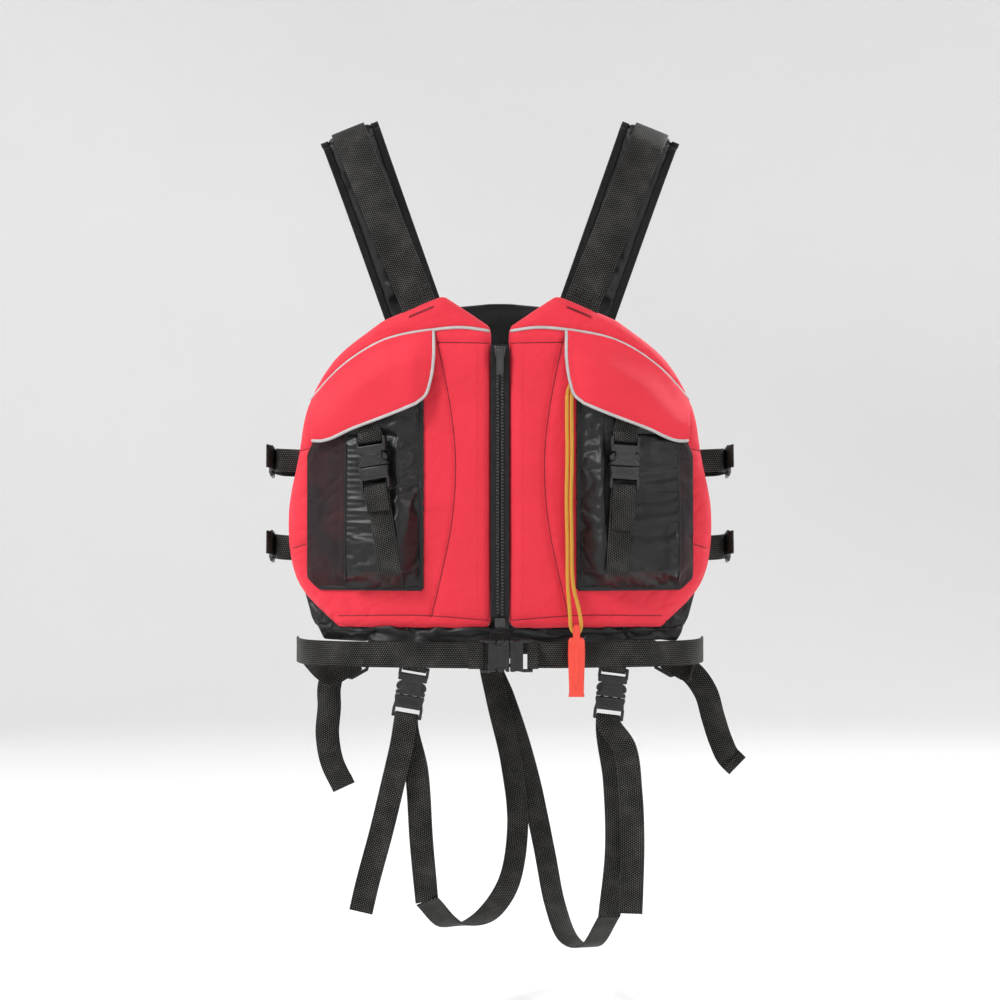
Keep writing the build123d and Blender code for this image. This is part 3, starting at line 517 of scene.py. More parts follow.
def tube(name, points, radius, material, slot, body="jacket", replaces=(), ride=True, sides=8, step=2.0,
         flat=1.0, smooth=True):
    """A round or oval cord of fabric along points."""
    line = smooth_path(points, step) if smooth else straight_path(points, step)
    ahead = unit_rows(np.gradient(line, axis=0))
    across = Vector((0, 1, 0)).cross(Vector(ahead[0]))
    across = across if across.length > 0.1 else Vector((1, 0, 0))
    verts, lay = [], []
    gone = 0.0
    for i, (p, way) in enumerate(zip(line, ahead)):
        way = Vector(way)
        across = (across - way * across.dot(way)).normalized()
        up = way.cross(across)
        gone += float(np.linalg.norm(line[i] - line[i - 1])) if i else 0.0
        end = 0.6 if i in (0, len(line) - 1) else 1.0
        for k in range(sides):
            angle = 2 * pi * k / sides
            offset = across * cos(angle) * radius * end + up * sin(angle) * radius * flat * end
            verts.append(p + np.array(offset))
            lay.append((angle * radius, gone, 0))
    faces = tube_faces(len(line), sides)
    return piece(name, verts, faces, material, slot, body, replaces, lay, ride)


def stitches(name, runs, material, length=2.6, gap=1.5, radius=0.38, lift=0.15, body="jacket", ride=True):
    """Rows of short threads. Each run is (points, normals), both arrays, along one seam."""
    profile = ((-1, 0.3, -1.2), (-0.75, 0.9, 0.1), (0, 1.0, 0.5), (0.75, 0.9, 0.1), (1, 0.3, -1.2))
    verts, faces = [], []
    for points, normals in runs:
        at = lengths_along(points)
        for start in np.arange(gap, at[-1] - length, length + gap):
            ends = [np.array([np.interp(start + d, at, points[:, k]) for k in range(3)]) for d in (0, length)]
            normal = np.array([np.interp(start, at, normals[:, k]) for k in range(3)])
            normal /= np.linalg.norm(normal)
            way = (ends[1] - ends[0]) / max(np.linalg.norm(ends[1] - ends[0]), 1e-6)
            across = np.cross(normal, way)
            first = len(verts)
            for t, size, height in profile:
                middle = (ends[0] + ends[1]) / 2 + way * t * length / 2 + normal * (lift + height * radius)
                for k in range(THREAD_SIDES):
                    angle = 2 * pi * k / THREAD_SIDES
                    verts.append(middle + (across * cos(angle) + normal * sin(angle)) * radius * size)
            faces += [tuple(first + i for i in face) for face in tube_faces(len(profile), THREAD_SIDES)]
    return piece(name, verts, faces, material, "thread", body, ride=ride)


# ---------------------------------------------------------------- cloth
def settle(made, pinned, pressure, cap, slack=0.0, frames=20, bending=0.6):
    """Lets cloth move under pressure and slack, holding pinned points, and keeps the result."""
    group = made.vertex_groups.new(name="pin")
    for weight in (1.0, 0.5):
        chosen = np.flatnonzero(np.isclose(pinned, weight))
        group.add([int(i) for i in chosen], weight, "REPLACE")
    rest = coordinates(made)
    cloth = made.modifiers.new("cloth", "CLOTH")
    settings = cloth.settings
    settings.quality = 5
    settings.mass = 0.25
    settings.tension_stiffness = settings.compression_stiffness = 18
    settings.shear_stiffness = 8
    settings.bending_stiffness = bending
    settings.use_pressure = pressure > 0
    settings.uniform_pressure_force = pressure
    settings.shrink_min = -slack
    settings.vertex_group_mass = "pin"
    settings.effector_weights.gravity = 0
    cloth.collision_settings.use_collision = False
    cloth.collision_settings.use_self_collision = False
    cloth.point_cache.frame_start, cloth.point_cache.frame_end = 1, frames
    for number in range(1, frames + 1):
        bpy.context.scene.frame_set(number)
    moved = coordinates(evaluated(made)) - rest
    made.modifiers.clear()
    bpy.context.scene.frame_set(1)
    size = np.linalg.norm(moved, axis=1)
    moved *= (np.tanh(size / cap) * cap / np.maximum(size, 1e-6))[:, None]
    moved[~np.isfinite(moved).all(axis=1)] = 0
    set_coordinates(made, rest + moved)


def remesh(made, voxel):
    change = made.modifiers.new("voxels", "REMESH")
    change.mode = "VOXEL"
    change.voxel_size = voxel * MM
    change.use_smooth_shade = True
    apply_modifiers(made)


# ---------------------------------------------------------------- panels
FRONT_SIDE = ((125, -204), (178, -246), (208, -300), (216, -345), (228, -412), (217, -482), (172, FRONT_FOOT))
BACK_SIDE = ((132, -206.5), (162, -254), (207, -352), (226, -448), (206, -502), (165, -514))
RED_DEPTH = 17.0  # the red cover wraps this far round the panel's edge; behind it is black lining
ROUND = 13.0  # the width of the rounding at a panel's edge
DROP = 8.0  # how far the rounding falls
TUCK = 1.6  # depth of a seam's valley


def front_outline(side, step=5.0):
    neck = smooth_path(((ZIP_GAP, -212), (32, -197), (60, -178)), step)
    base = straight_path(((60, -178), (125, -204)), step)
    edge = smooth_path(FRONT_SIDE, step)
    foot = straight_path(((172, FRONT_FOOT), (ZIP_GAP, FRONT_FOOT), (ZIP_GAP, -212)), step)
    points = np.vstack([neck[:-1], base[:-1], edge[:-1], foot[:-1]])
    return points * (side, 1)


def back_outline(step=5.0):
    collar = smooth_path(((-57, -176.5), (0, -172), (57, -176.5)), step)
    base = straight_path(((57, -176.5), (132, -206.5)), step)
    edge = smooth_path(BACK_SIDE, step)
    foot = smooth_path(((165, -514), (0, -518), (-165, -514)), step)
    half = [base[:-1], edge[:-1]]
    other = [(run * (-1, 1))[::-1] for run in (edge, base)]
    return np.vstack([collar[:-1], *half, foot[:-1], other[0][:-1], other[1][:-1]])


def puff_panel(name, outline, facing, seams, voxel):
    """A padded panel: filled, rounded at its rim, remeshed, and swollen between its seams."""
    flat, triangles, closed = fill_outline(outline, 6.0)
    rim = distance_to(flat, closed)
    inward = np.clip(1 - rim / ROUND, 0, 1)
    fall = DROP * (1 - np.sqrt(np.clip(1 - inward**2, 0, 1)))
    front = [on_panel(x, z, PANEL_R - 1.0 - f, facing) for (x, z), f in zip(flat, fall)]
    back = [on_panel(x, z, PANEL_R - PANEL_T + 1 + 0.4 * f, facing) for (x, z), f in zip(flat, fall)]
    count, border = len(flat), len(outline)
    faces = list(triangles) + [[i + count for i in f[::-1]] for f in triangles]
    first = triangles[0]
    a, b, c = (flat[i] for i in first)
    turn = np.cross(b - a, c - a) > 0
    for i in range(border):
        j = (i + 1) % border
        faces.append((i, i + count, j + count, j) if turn else (j, j + count, i + count, i))
    made = piece(name, front + back, faces, RED, "red_fabric", ride=False)
    remesh(made, voxel)
    points = coordinates(made)
    r = layer_radius(points, facing)
    near = np.min([distance_to(points[:, [0, 2]], np.array(line)) for line in seams], axis=0)
    pinned = np.where((near < voxel) & (r > PANEL_R - 12), 1.0, 0.0)
    pinned[r < PANEL_R - PANEL_T + 6] = 1.0
    settle(made, pinned, pressure=3.5, cap=5.5)
    subdivide(made)
    return made


def sew_valleys(made, facing, seams, depth=TUCK, width=3.4, pucker=0.45):
    """Pulls the surface in along seams, with small gathers beside them."""
    points = coordinates(made)
    r = layer_radius(points, facing)
    outer = np.clip((r - (PANEL_R - 14)) / 8, 0, 1)
    shift = np.zeros(len(points))
    for k, line in enumerate(seams):
        away = distance_to(points[:, [0, 2]], np.array(line))
        close = np.flatnonzero(away < 26)
        shift[close] -= depth * np.exp(-((away[close] / width) ** 2))
        for i in close:
            x, z = points[i, 0], points[i, 2]
            gather = noise(Vector((x * 0.16 + k * 7, z * 0.16, 3.0 * k)))
            shift[i] += pucker * gather * np.exp(-away[i] / 9) * 1.6
    for i in range(len(points)):
        x, z = points[i, 0], points[i, 2]
        shift[i] += 1.3 * noise(Vector((x * 0.022 + 5, z * 0.015, facing * 4.0)))
        drag = noise(Vector((x * 0.012 + z * 0.02, z * 0.045 - x * 0.03, 11.0 + facing)))
        shift[i] -= 1.1 * max(0.0, 1 - abs(drag) * 7) * min(1.0, abs(x) / 120)
    set_coordinates(made, shift_radius(points, facing, shift * outer))


def split_lining(made, name, facing, node, **rest):
    """Parts the faces deeper than the red wrap into a lining piece, which stands for a CAD node."""
    points = coordinates(made)
    faces = [tuple(p.vertices) for p in made.data.polygons]
    centres = np.array([points[list(f)].mean(axis=0) for f in faces])
    depth = PANEL_R - layer_radius(centres, facing)
    low = centres[:, 2] < FRONT_FOOT + 7
    deep = (depth > RED_DEPTH) | (low & (depth > 9))
    parts = []
    for chosen in (~deep, deep):
        kept = [f for f, c in zip(faces, chosen) if c]
        used = np.unique(np.concatenate([np.array(f) for f in kept]))
        index = np.full(len(points), -1)
        index[used] = np.arange(len(used))
        parts.append((points[used], [tuple(index[list(f)]) for f in kept]))
    cover_name = made.name
    bpy.data.objects.remove(made)
    cover = piece(cover_name, *parts[0], RED, "red_fabric", **rest)
    piece(name, *parts[1], LINING, "black_nylon", replaces=(node,))
    return cover


class Surface:
    """A finished cover, for dropping seams, piping and stitches onto it."""

    def __init__(self, made, facing):
        self.facing = facing
        points = [Vector(p) for p in coordinates(made)]
        self.tree = BVHTree.FromPolygons(points, [tuple(p.vertices) for p in made.data.polygons])

    def drop(self, x, z, above=0.0):
        """The cover's surface over (x, z), and its outward normal."""
        start = Vector(on_panel(x, z, PANEL_R + 60, self.facing))
        way = (Vector(on_panel(x, z, PANEL_R - 30, self.facing)) - start).normalized()
        hit, normal, _, _ = self.tree.ray_cast(start, way, 120)
        if hit is None:
            return Vector(on_panel(x, z, PANEL_R - 2, self.facing)) - way * above, -way
        normal = normal if normal.dot(way) < 0 else -normal
        return hit - way * above, normal

    def run(self, line, step=1.5, above=0.0, smooth=True):
        flat = smooth_path(line, step) if smooth else straight_path(line, step)
        found = [self.drop(x, z, above) for x, z in flat]
        return np.array([f[0][:] for f in found]), np.array([f[1][:] for f in found])


def hem_line(side):
    return mirrored([(ZIP_GAP + 3, -520.5), (72, -516), (176, -517)], side)


def front_seams(side):
    """The seams of one front half: yoke, princess, zip panel's ends and the side's strap seams."""
    lines = [mirrored(YOKE_SEAM, side), mirrored(PRINCESS_SEAM, side), hem_line(side)]
    lines.append(mirrored([(11, -229), (66, -228)], side))
    lines.append(mirrored([(204, -339), (217, -342)], side))
    lines.append(mirrored([(207, -441), (226, -447)], side))
    lines.append(mirrored([(18, -226), (18, -519)], side))
    return [smooth_path(line, 4.0) for line in lines]


def panels():
    """The three padded panels. Returns the finished surfaces of both fronts and of the back."""
    surfaces = {}
    for name, side in SIDES.items():
        seams = front_seams(side)
        made = puff_panel(f"front_{name}_shell", front_outline(side), -1, seams, 4.2)
        sew_valleys(made, -1, seams[:6])
        nodes = (f"front_{name}_cover", "front_foams")
        cover = split_lining(made, f"front_{name}_lining", -1, "front_linings", replaces=nodes)
        surfaces[name] = Surface(cover, -1)
    seams = [smooth_path(BACK_SEAM, 4.0)]
    made = puff_panel("back_shell", back_outline(), 1, seams, 4.8)
    sew_valleys(made, 1, seams)
    nodes = ("back_cover", "back_foam")
    cover = split_lining(made, "back_inner_lining", 1, "back_lining", replaces=nodes)
    surfaces["back"] = Surface(cover, 1)
    return surfaces


def seam_threads(surfaces):
    """Topstitching beside the seams of the covers, and a dark tube of painted shadow along the valley where
    the cloth turns in.
    """
    for name, side in SIDES.items():
        surface = surfaces[name]
        runs = []
        for line in front_seams(side)[1:4]:
            runs.append(surface.run(line[::2] + (side * 2.6, 0)))
        runs.append(surface.run(mirrored([(24, -230), (24, -516)], side)))
        stitches(f"{name}_topstitching", runs, RED_THREAD, **TOPSTITCH)
        # Dark red tubes along the seam valleys: painted shadow of the valleys.
        for number, line in enumerate(front_seams(side)[1:6]):
            dark, _ = surface.run(line[:: max(1, min(2, len(line) // 3))], 3.0, 0.05)
            tube(f"{name}_seam_shadow_line_{number}", dark, 0.45, SEAM_SHADE, "thread", sides=6)
    surface = surfaces["back"]
    line = smooth_path(BACK_SEAM, 4.0)
    runs = [surface.run(line[::2] + (0, -4.5))]
    stitches("back_topstitching", runs, RED_THREAD, **TOPSTITCH)


def pipings(surfaces):
    """Reflective piping along the yoke seams of both fronts and the back."""
    for name, side in SIDES.items():
        points, _ = surfaces[name].run(mirrored(YOKE_SEAM, side), 3.0, 0.5)
        tube(f"{name}_yoke_piping", points, 1.7, REFLECTIVE, "reflective_piping", replaces=("yoke_pipings",))
    points, _ = surfaces["back"].run(BACK_SEAM, 3.0, 0.5)
    tube("back_yoke_piping", points, 1.7, REFLECTIVE, "reflective_piping", replaces=("yoke_pipings",))


# ---------------------------------------------------------------- sheets of cloth on the front and back
def lift_clear(made, surface, above):
    """Pushes a sheet's points out of the cover underneath it."""
    points = coordinates(made)
    under = np.array([cover_radius(surface, x, z) for x, _, z in points]) + above
    lift = np.maximum(0.0, under - layer_radius(points, surface.facing))
    set_coordinates(made, shift_radius(points, surface.facing, lift))


def sheet_of(name, outline, step, radius, material, slot, facing=-1, thickness=1.4, holes=(), body="jacket",
             replaces=(), ride=True, slack=0.0, pressure=0.0, cap=3.0, bending=0.3, levels=1, free=None,
             over=None):
    """A sheet cut to an upright outline and laid at radius(x, z), crinkled by simulation, then thickened."""
    flat, triangles, closed = fill_outline(outline, step)
    for x, z, r in holes:
        hub = np.array((x, z))
        away = flat - hub
        size = np.linalg.norm(away, axis=1)
        near = size < r + step * 0.7
        reach = np.where(size[near] < r * 0.7, size[near], r)
        flat[near] = hub + away[near] / np.maximum(size[near], 1e-6)[:, None] * reach[:, None]
        triangles = [f for f in triangles if np.linalg.norm(flat[f].mean(axis=0) - hub) > r * 0.86]
    points = np.array([on_panel(x, z, radius(x, z), facing) for x, z in flat])
    used = np.unique(np.array(triangles))
    index = np.full(len(flat), -1)
    index[used] = np.arange(len(used))
    triangles = [tuple(index[list(f)]) for f in triangles]
    made = piece(name, points[used], triangles, material, slot, body, ride=False)
    if slack or pressure:
        rim = distance_to(flat[used], closed)
        pinned = np.where(rim < step * 0.6, 1.0, 0.0)
        if free is not None:
            pinned[[free(x, z) for x, z in flat[used]]] = 0.0
        settle(made, pinned, pressure, cap, slack, 24, bending)
    if over is not None:
        lift_clear(made, over, thickness / 2 + 0.5)
    thick = made.modifiers.new("thickness", "SOLIDIFY")
    thick.thickness = thickness * MM
    thick.offset = 0
    if levels:
        made.modifiers.new("subdivision", "SUBSURF").levels = levels
    apply_modifiers(made)
    made.data.shade_smooth()
    if ride:
        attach(made, body)
    if replaces:
        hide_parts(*replaces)
    return made


def ease(t):
    t = min(1.0, max(0.0, t))
    return t * t * (3 - 2 * t)


# ---------------------------------------------------------------- flaps
FLAP_R = 535.0
FLAP_INNER = ((70, -214.5), (70.2, -249), (73.6, -270), (78.5, -284), (88, -292.5))
FLAP_LOW = ((88, -292.5), (96, -296), (154, -318), (192, -331.5), (199.5, -331))
FLAP_OUTER = ((199.5, -331), (202, -310), (203, -287))
INNER_INSET, LOW_INSET = 5.0, 5.5  # from the flap's edges to its stitching
FLAP_RISE = 34.0  # how far below the yoke seam the flap is at its full height
FLAP_DIP = 26.0  # how far from its inner edge it is at its full height
FLAP_DROP = 95.0  # from the yoke seam to the lower edge


def cover_radius(surface, x, z):
    """How far the finished cover lies from the front's axis at (x, z)."""
    hit, _ = surface.drop(x, z)
    return float(np.hypot(hit.x, AXIS_Y - hit.y))


def flap_radius(surface, x, z):
    """The flap leaves the yoke seam, lies on the pocket, and dips to the cover at its inner edge."""
    seam = np.array(YOKE_SEAM)
    below = float(distance_to(np.array([(abs(x), z)]), seam)[0])
    rise = ease(below / FLAP_RISE)
    reach = 0.35 + 0.65 * ease((abs(x) - FLAP_HINGE[0][0]) / FLAP_DIP)
    soft = 0.9 * noise(Vector((x * 0.03, z * 0.03, 2.0)))
    edge = distance_to(np.array([(abs(x), z)]), np.array(FLAP_LOW + FLAP_OUTER[1:2]))[0]
    gather = 0.55 * noise(Vector((x * 0.13, z * 0.13, 8.0))) * np.exp(-edge / 9)
    crown = 2.2 * sin(pi * min(1.0, below / FLAP_DROP))
    base = cover_radius(surface, x, z) + 0.7
    return base + max(0.8, FLAP_R - base) * rise * reach + (crown + soft) * rise + gather


def flaps(surfaces):
    """The red pocket flaps with their piped lower edges, bending at the yoke seam."""
    for name, side in SIDES.items():
        cover = surfaces[name]

        def radius(x, z):
            return flap_radius(cover, x, z)

        body = f"{name}_flap"
        runs = [smooth_path(YOKE_SEAM[2:], 4.0)[:-1], smooth_path(FLAP_OUTER[::-1], 4.0)[:-1],
                smooth_path(FLAP_LOW[::-1], 4.0)[:-1], smooth_path(FLAP_INNER[::-1], 4.0)[:-1]]
        outline = np.vstack(runs) * (side, 1)
        cloth = sheet_of(f"{name}_flap_cloth", outline, 4.5, radius, RED, "red_fabric", thickness=2.0,
                         body=body, replaces=(f"{name}_flap",), ride=False, pressure=0.4, cap=1.2, bending=2,
                         over=cover)
        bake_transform(cloth)

        surface = Surface(cloth, -1)
        edge = np.vstack([smooth_path(FLAP_INNER, 3.0)[:-1], smooth_path(FLAP_LOW, 3.0)]) * (side, 1)
        line = [on_panel(x, z, radius(x, z) + 0.3) for x, z in edge]
        piping = tube(f"{name}_flap_edge", line, 1.8, REFLECTIVE, "reflective_piping", body, ride=False,
                      replaces=(f"{name}_flap_piping",))
        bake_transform(piping)

        inner, low = smooth_path(FLAP_INNER, 12), smooth_path(FLAP_LOW, 12)
        inset = np.vstack([inner + (INNER_INSET, 0), low[1:] + (0, LOW_INSET)])[2:-1] * (side, 1)
        threads = stitches(f"{name}_flap_stitching", [surface.run(inset)], RED_THREAD, body=body,
                           ride=False, **TOPSTITCH)
        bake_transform(threads)


# ---------------------------------------------------------------- pockets
BELLOWS_Z = (POCKET_FOOT, -468, -440, -325, -240)
BELLOWS_R = (538.0, 546.5, 547.0, 530.0, 529.5)
POCKET_CUT = 12.0  # the corner cut off a gusset's foot
STITCH_IN = POCKET_IN + 6.2


def mouth_z(x):
    """The slanted mouth of a pocket."""
    return -250 + (abs(x) - POCKET_IN) * (-312 + 250) / (POCKET_OUT - POCKET_IN)


def pocket_radius(name, surface):
    split = POCKET_SPLIT[name]

    def radius(x, z):
        across = ease((abs(x) - POCKET_IN) / 30) * (1 - max(0.0, abs(x) - split) / (POCKET_OUT - split + 3))
        foot = ease((z - POCKET_FOOT) / 22)
        full = np.interp(z, BELLOWS_Z, BELLOWS_R)
        base = cover_radius(surface, x, z) + 0.9
        return base + max(0.0, full - base) * across * foot

    return radius


def pockets(surfaces):
    """A nylon bag on each front with a mesh gusset on its outer side, and their sewn edges."""
    for name, side in SIDES.items():
        split = POCKET_SPLIT[name]
        surface = surfaces[name]
        radius = pocket_radius(name, surface)
        corners = ((POCKET_IN, mouth_z(POCKET_IN)), (split, mouth_z(split)), (split, POCKET_FOOT),
                   (POCKET_IN, POCKET_FOOT), (POCKET_IN, mouth_z(POCKET_IN)))
        outline = straight_path(corners, 4.0)[:-1] * (side, 1)
        bag = sheet_of(f"{name}_pocket_bag", outline, 3.6, radius, NYLON, "black_nylon", slack=0.06,
                       cap=4.2, over=surface, bending=0.7, thickness=1.0, replaces=(f"{name}_pocket",))
        corners = ((split - 1, mouth_z(split)), (196, mouth_z(196)), (199, -331), (POCKET_OUT, -345),
                   (POCKET_OUT, POCKET_FOOT + POCKET_CUT),
                   (POCKET_OUT - POCKET_CUT, POCKET_FOOT), (split - 1, POCKET_FOOT),
                   (split - 1, mouth_z(split)))
        outline = straight_path(corners, 4.0)[:-1] * (side, 1)
        gusset = sheet_of(f"{name}_pocket_gusset", outline, 3.6, radius, NETTING, "black_mesh", slack=0.04,
                          over=surface, cap=2.6, bending=0.15, thickness=0.9, replaces=("pocket_meshes",))

        outer = Surface(bag, -1)
        inner = straight_path(((POCKET_IN + 1.6, mouth_z(82) - 2), (POCKET_IN + 1.6, POCKET_FOOT + 1.6)), 5)
        low = straight_path(((POCKET_IN + 1.6, POCKET_FOOT + 1.6),
                             (POCKET_OUT - POCKET_CUT - 2, POCKET_FOOT + 1.6)), 5)
        for part, line in (("inner", inner), ("foot", low)):
            puckered = []
            for x, z in line:
                lift = 1.6 + 0.9 * noise(Vector((x * 0.1, z * 0.14, 4.0)))
                u = side * (x + (0.7 * noise(Vector((z * 0.15, 1, 1))) if part == "inner" else 0))
                puckered.append(on_panel(u, z, cover_radius(surface, u, z) + lift))
            ways = [Vector((1, 0, 0)) if part == "inner" else Vector((0, 0, 1))] * len(puckered)
            web(f"{name}_pocket_{part}_hem", puckered, ways, 4.6, NYLON, 1.5, slot="black_nylon")
        crest = [on_panel(side * (split - 0.5), z, radius(side * (split - 0.5), z) + 0.4)
                 for z in np.linspace(mouth_z(split) - 4, POCKET_FOOT + 8, 16)]
        tube(f"{name}_pocket_crest", crest, 1.1, NYLON, "black_nylon")
        runs = [outer.run(mirrored(line, side)) for line in
                ([(STITCH_IN, mouth_z(87) - 4), (STITCH_IN, POCKET_FOOT + 7)],
                 [(STITCH_IN, POCKET_FOOT + 6), (split - 2, POCKET_FOOT + 6)])]
        stitches(f"{name}_pocket_stitching", runs, BLACK_THREAD, 2.2, 1.6, 0.3, 0.1)
        dress(f"{name}_flap_hook", HOOK)
    dress("pocket_loops", HOOK)


# ---------------------------------------------------------------- moulded hardware
class Place:
    """A place for hardware: local y runs along the web, local z points out of the jacket."""

    def __init__(self, origin, along, out):
        self.origin = Vector(origin)
        self.along = Vector(along).normalized()
        self.across = self.along.cross(Vector(out)).normalized()
        self.out = self.across.cross(self.along)

    def at(self, x, y, z):
        return self.origin + self.across * x + self.along * y + self.out * z


def plate(loops, low, high, bevel=0.8):
    """A flat moulded shape in local millimetres: an outline with holes and rounded edges."""
    curve = bpy.data.curves.new("plate", "CURVE")
    curve.dimensions = "2D"
    curve.fill_mode = "BOTH"
    curve.extrude = (high - low) / 2 - bevel
    curve.bevel_depth = bevel
    curve.offset = -bevel
    curve.bevel_resolution = 2
    for loop in loops:
        spline = curve.splines.new("POLY")
        spline.points.add(len(loop) - 1)
        for point, (x, y) in zip(spline.points, loop):
            point.co = (x, y, 0, 1)
        spline.use_cyclic_u = True
    holder = add_object("plate", curve)
    bpy.context.view_layer.update()
    mesh = bpy.data.meshes.new_from_object(evaluated(holder))
    points = [(v.co.x, v.co.y, v.co.z + (low + high) / 2) for v in mesh.vertices]
    faces = [tuple(f.vertices) for f in mesh.polygons]
    bpy.data.objects.remove(holder)
    bpy.data.curves.remove(curve)
    bpy.data.meshes.remove(mesh)
    return points, faces


def rounded(x0, y0, x1, y1, r, count=5):
    """A rectangle with rounded corners, as points."""
    loop = []
    for cx, cy, start in ((x1 - r, y1 - r, 0), (x0 + r, y1 - r, 1), (x0 + r, y0 + r, 2), (x1 - r, y0 + r, 3)):
        for k in range(count):
            angle = pi / 2 * (start + k / (count - 1))
            loop.append((cx + r * cos(angle), cy + r * sin(angle)))
    return loop


def both_sides(half):
    """Closes an outline that is given for x > 0, from its top to its foot."""
    return list(half) + [(-x, y) for x, y in half[::-1]]


def hardware(name, shapes, place, material, slot, body, replaces=()):
    """One moulded piece from several local shapes."""
    verts, faces = [], []
    for points, polygons in shapes:
        first = len(verts)
        verts += [place.at(*p) for p in points]
        faces += [tuple(first + i for i in f) for f in polygons]
    made = piece(name, verts, faces, material, slot, body, replaces)
    made.data.set_sharp_from_angle(angle=SHARP_ANGLE)
    return made


def web_bar(width, y, way):
    """The end of a buckle that holds webbing: two cheeks and a ribbed bar between them."""
    half = width / 2
    shapes = []
    for side in (-1, 1):
        x0, x1 = sorted((side * (half - 3.1), side * half))
        y0, y1 = sorted((y, y - way * 12))
        shapes.append(plate([rounded(x0, y0, x1, y1, 1.4)], -4.2, 4.2, 1.0))
    y0, y1 = sorted((y - way * 0.1, y - way * 3.7))
    shapes.append(plate([rounded(-half + 1, y0, half - 1, y1, 0.9)], -1.5, 1.5, 0.6))
    return shapes


def side_release(name, place, bodies, nodes, web_width=WEB):
    """A side-release buckle in three pieces: socket, plug and the plug's sprung prongs."""
    width = web_width + 7
    half = width / 2
    shell = both_sides([(half - 2.0, 22.5), (half - 0.4, 21.5), (half - 2.6, 18.0), (half - 4.8, 14.5),
                        (half - 5.6, 11.0), (half - 5.2, 7.6), (half - 3.4, 5.2), (half - 1.0, 3.9),
                        (half - 0.3, 2.4), (half - 0.7, 0.2)])
    socket = [plate([shell], 2.3, 4.8, 0.9), plate([shell], -4.8, -2.3, 0.9)]
    socket.append(plate([rounded(-half + 0.6, 14.8, half - 0.6, 21.6, 1.2)], -4.3, 4.3, 0.9))
    for side in (-1, 1):
        x0, x1 = sorted((side * (half - 3.6), side * (half - 0.8)))
        socket.append(plate([rounded(x0, 0.3, x1, 4.4, 0.8)], -3.0, 3.0, 0.5))
    socket += web_bar(width, SOCKET_L, 1)
    socket.append(plate([rounded(-half + 7, 5.5, half - 7, 12.5, 2.5)], 4.4, 5.2, 0.35))
    hardware(f"{name}_buckle_socket", socket, place, BUCKLE, "buckle_plastic", bodies[0], nodes[:1])

    body = both_sides([(half - 0.8, -0.6), (half - 0.2, -3.0), (half - 1.2, -8.0), (half - 0.4, -12.4),
                       (half - 3.0, -14.2)])
    plug = [plate([body], -4.7, 4.7, 1.1), plate([rounded(-2.5, -2, 2.5, 16.6, 1.0)], -1.6, 1.6, 0.5)]
    plug += web_bar(width, -PLUG_L - 0.4, -1)
    for y in (-4.6, -6.8, -9.0):
        plug.append(plate([rounded(-half + 6, y - 0.5, half - 6, y + 0.5, 0.45)], 4.3, 5.1, 0.3))
    hardware(f"{name}_buckle_plug", plug, place, BUCKLE, "buckle_plastic", bodies[1], nodes[1:2])

    prongs = []
    for side in (-1, 1):
        barb = ((half - 9, -0.6), (half - 9, 10.5), (half - 7.6, 13.4), (half - 4.6, 14.2),
                (half - 1.8, 12.8), (half - 0.1, 10.0), (half + 0.1, 7.4), (half - 1.0, 5.3),
                (half - 3.4, 5.0), (half - 5.2, 3.4), (half - 5.2, -0.6))
        loop = [(side * x, y) for x, y in barb]
        prongs.append(plate([loop], -2.2, 2.2, 0.8))
    hardware(f"{name}_buckle_prongs", prongs, place, BUCKLE, "buckle_plastic", bodies[1], nodes[2:])


def ladder_lock(name, place, body, web_width=WEB):
    """A ladder lock: a frame with two slots, ribbed bars and a D-shaped thumb tab."""
    half = (web_width + 9) / 2
    tab = [(half * 0.72 * cos(a), 13.5 + 15 * sin(a)) for a in np.linspace(0.15, pi - 0.15, 15)]
    frame_loop = [(half, 10.5), (half - 2.5, 13.4), *tab, (-half + 2.5, 13.4), (-half, 10.5)]
    frame_loop += [(-half, -10.5), (-half + 3, -13.5), (half - 3, -13.5), (half, -10.5)]
    slots = [rounded(-web_width / 2 - 0.7, y - h / 2, web_width / 2 + 0.7, y + h / 2, 1.0)
             for y, h in ((-6.2, 7.4), (6.3, 7.2))]
    shapes = [plate([frame_loop, *slots], -LOCK_T / 2, LOCK_T / 2, 0.9)]
    for k in range(3):
        y = 16.5 + 3.0 * k
        wide = half * 0.45 * (1 - 0.16 * k)
        rib = rounded(-wide, y - 0.6, wide, y + 0.6, 0.5)
        shapes.append(plate([rib], LOCK_T / 2 - 0.4, LOCK_T / 2 + 0.6, 0.3))
    hardware(f"{name}_ladder", shapes, place, BUCKLE, "buckle_plastic", body, (name,))


def bar_turn(place, bar_y, way, height=BAR_TURN):
    """Points on a web's half turn round a bar."""
    turn = []
    for k in range(5):
        angle = pi * k / 4
        turn.append(place.at(0, bar_y + way * height * sin(angle), -height * cos(angle)))
    return turn


LOCK_WAY = ((24, -5.4), (12, -5.4), (1, -3.6), (-3.6, -2.4), (-5.2, 0), (-3.4, 2.7), (0, 3.1), (3.4, 2.2),
            (6.4, -0.6), (9, -3.4), (14, -3.6))


def local_points(place, pairs):
    return [place.at(0, along, out) for along, out in pairs]


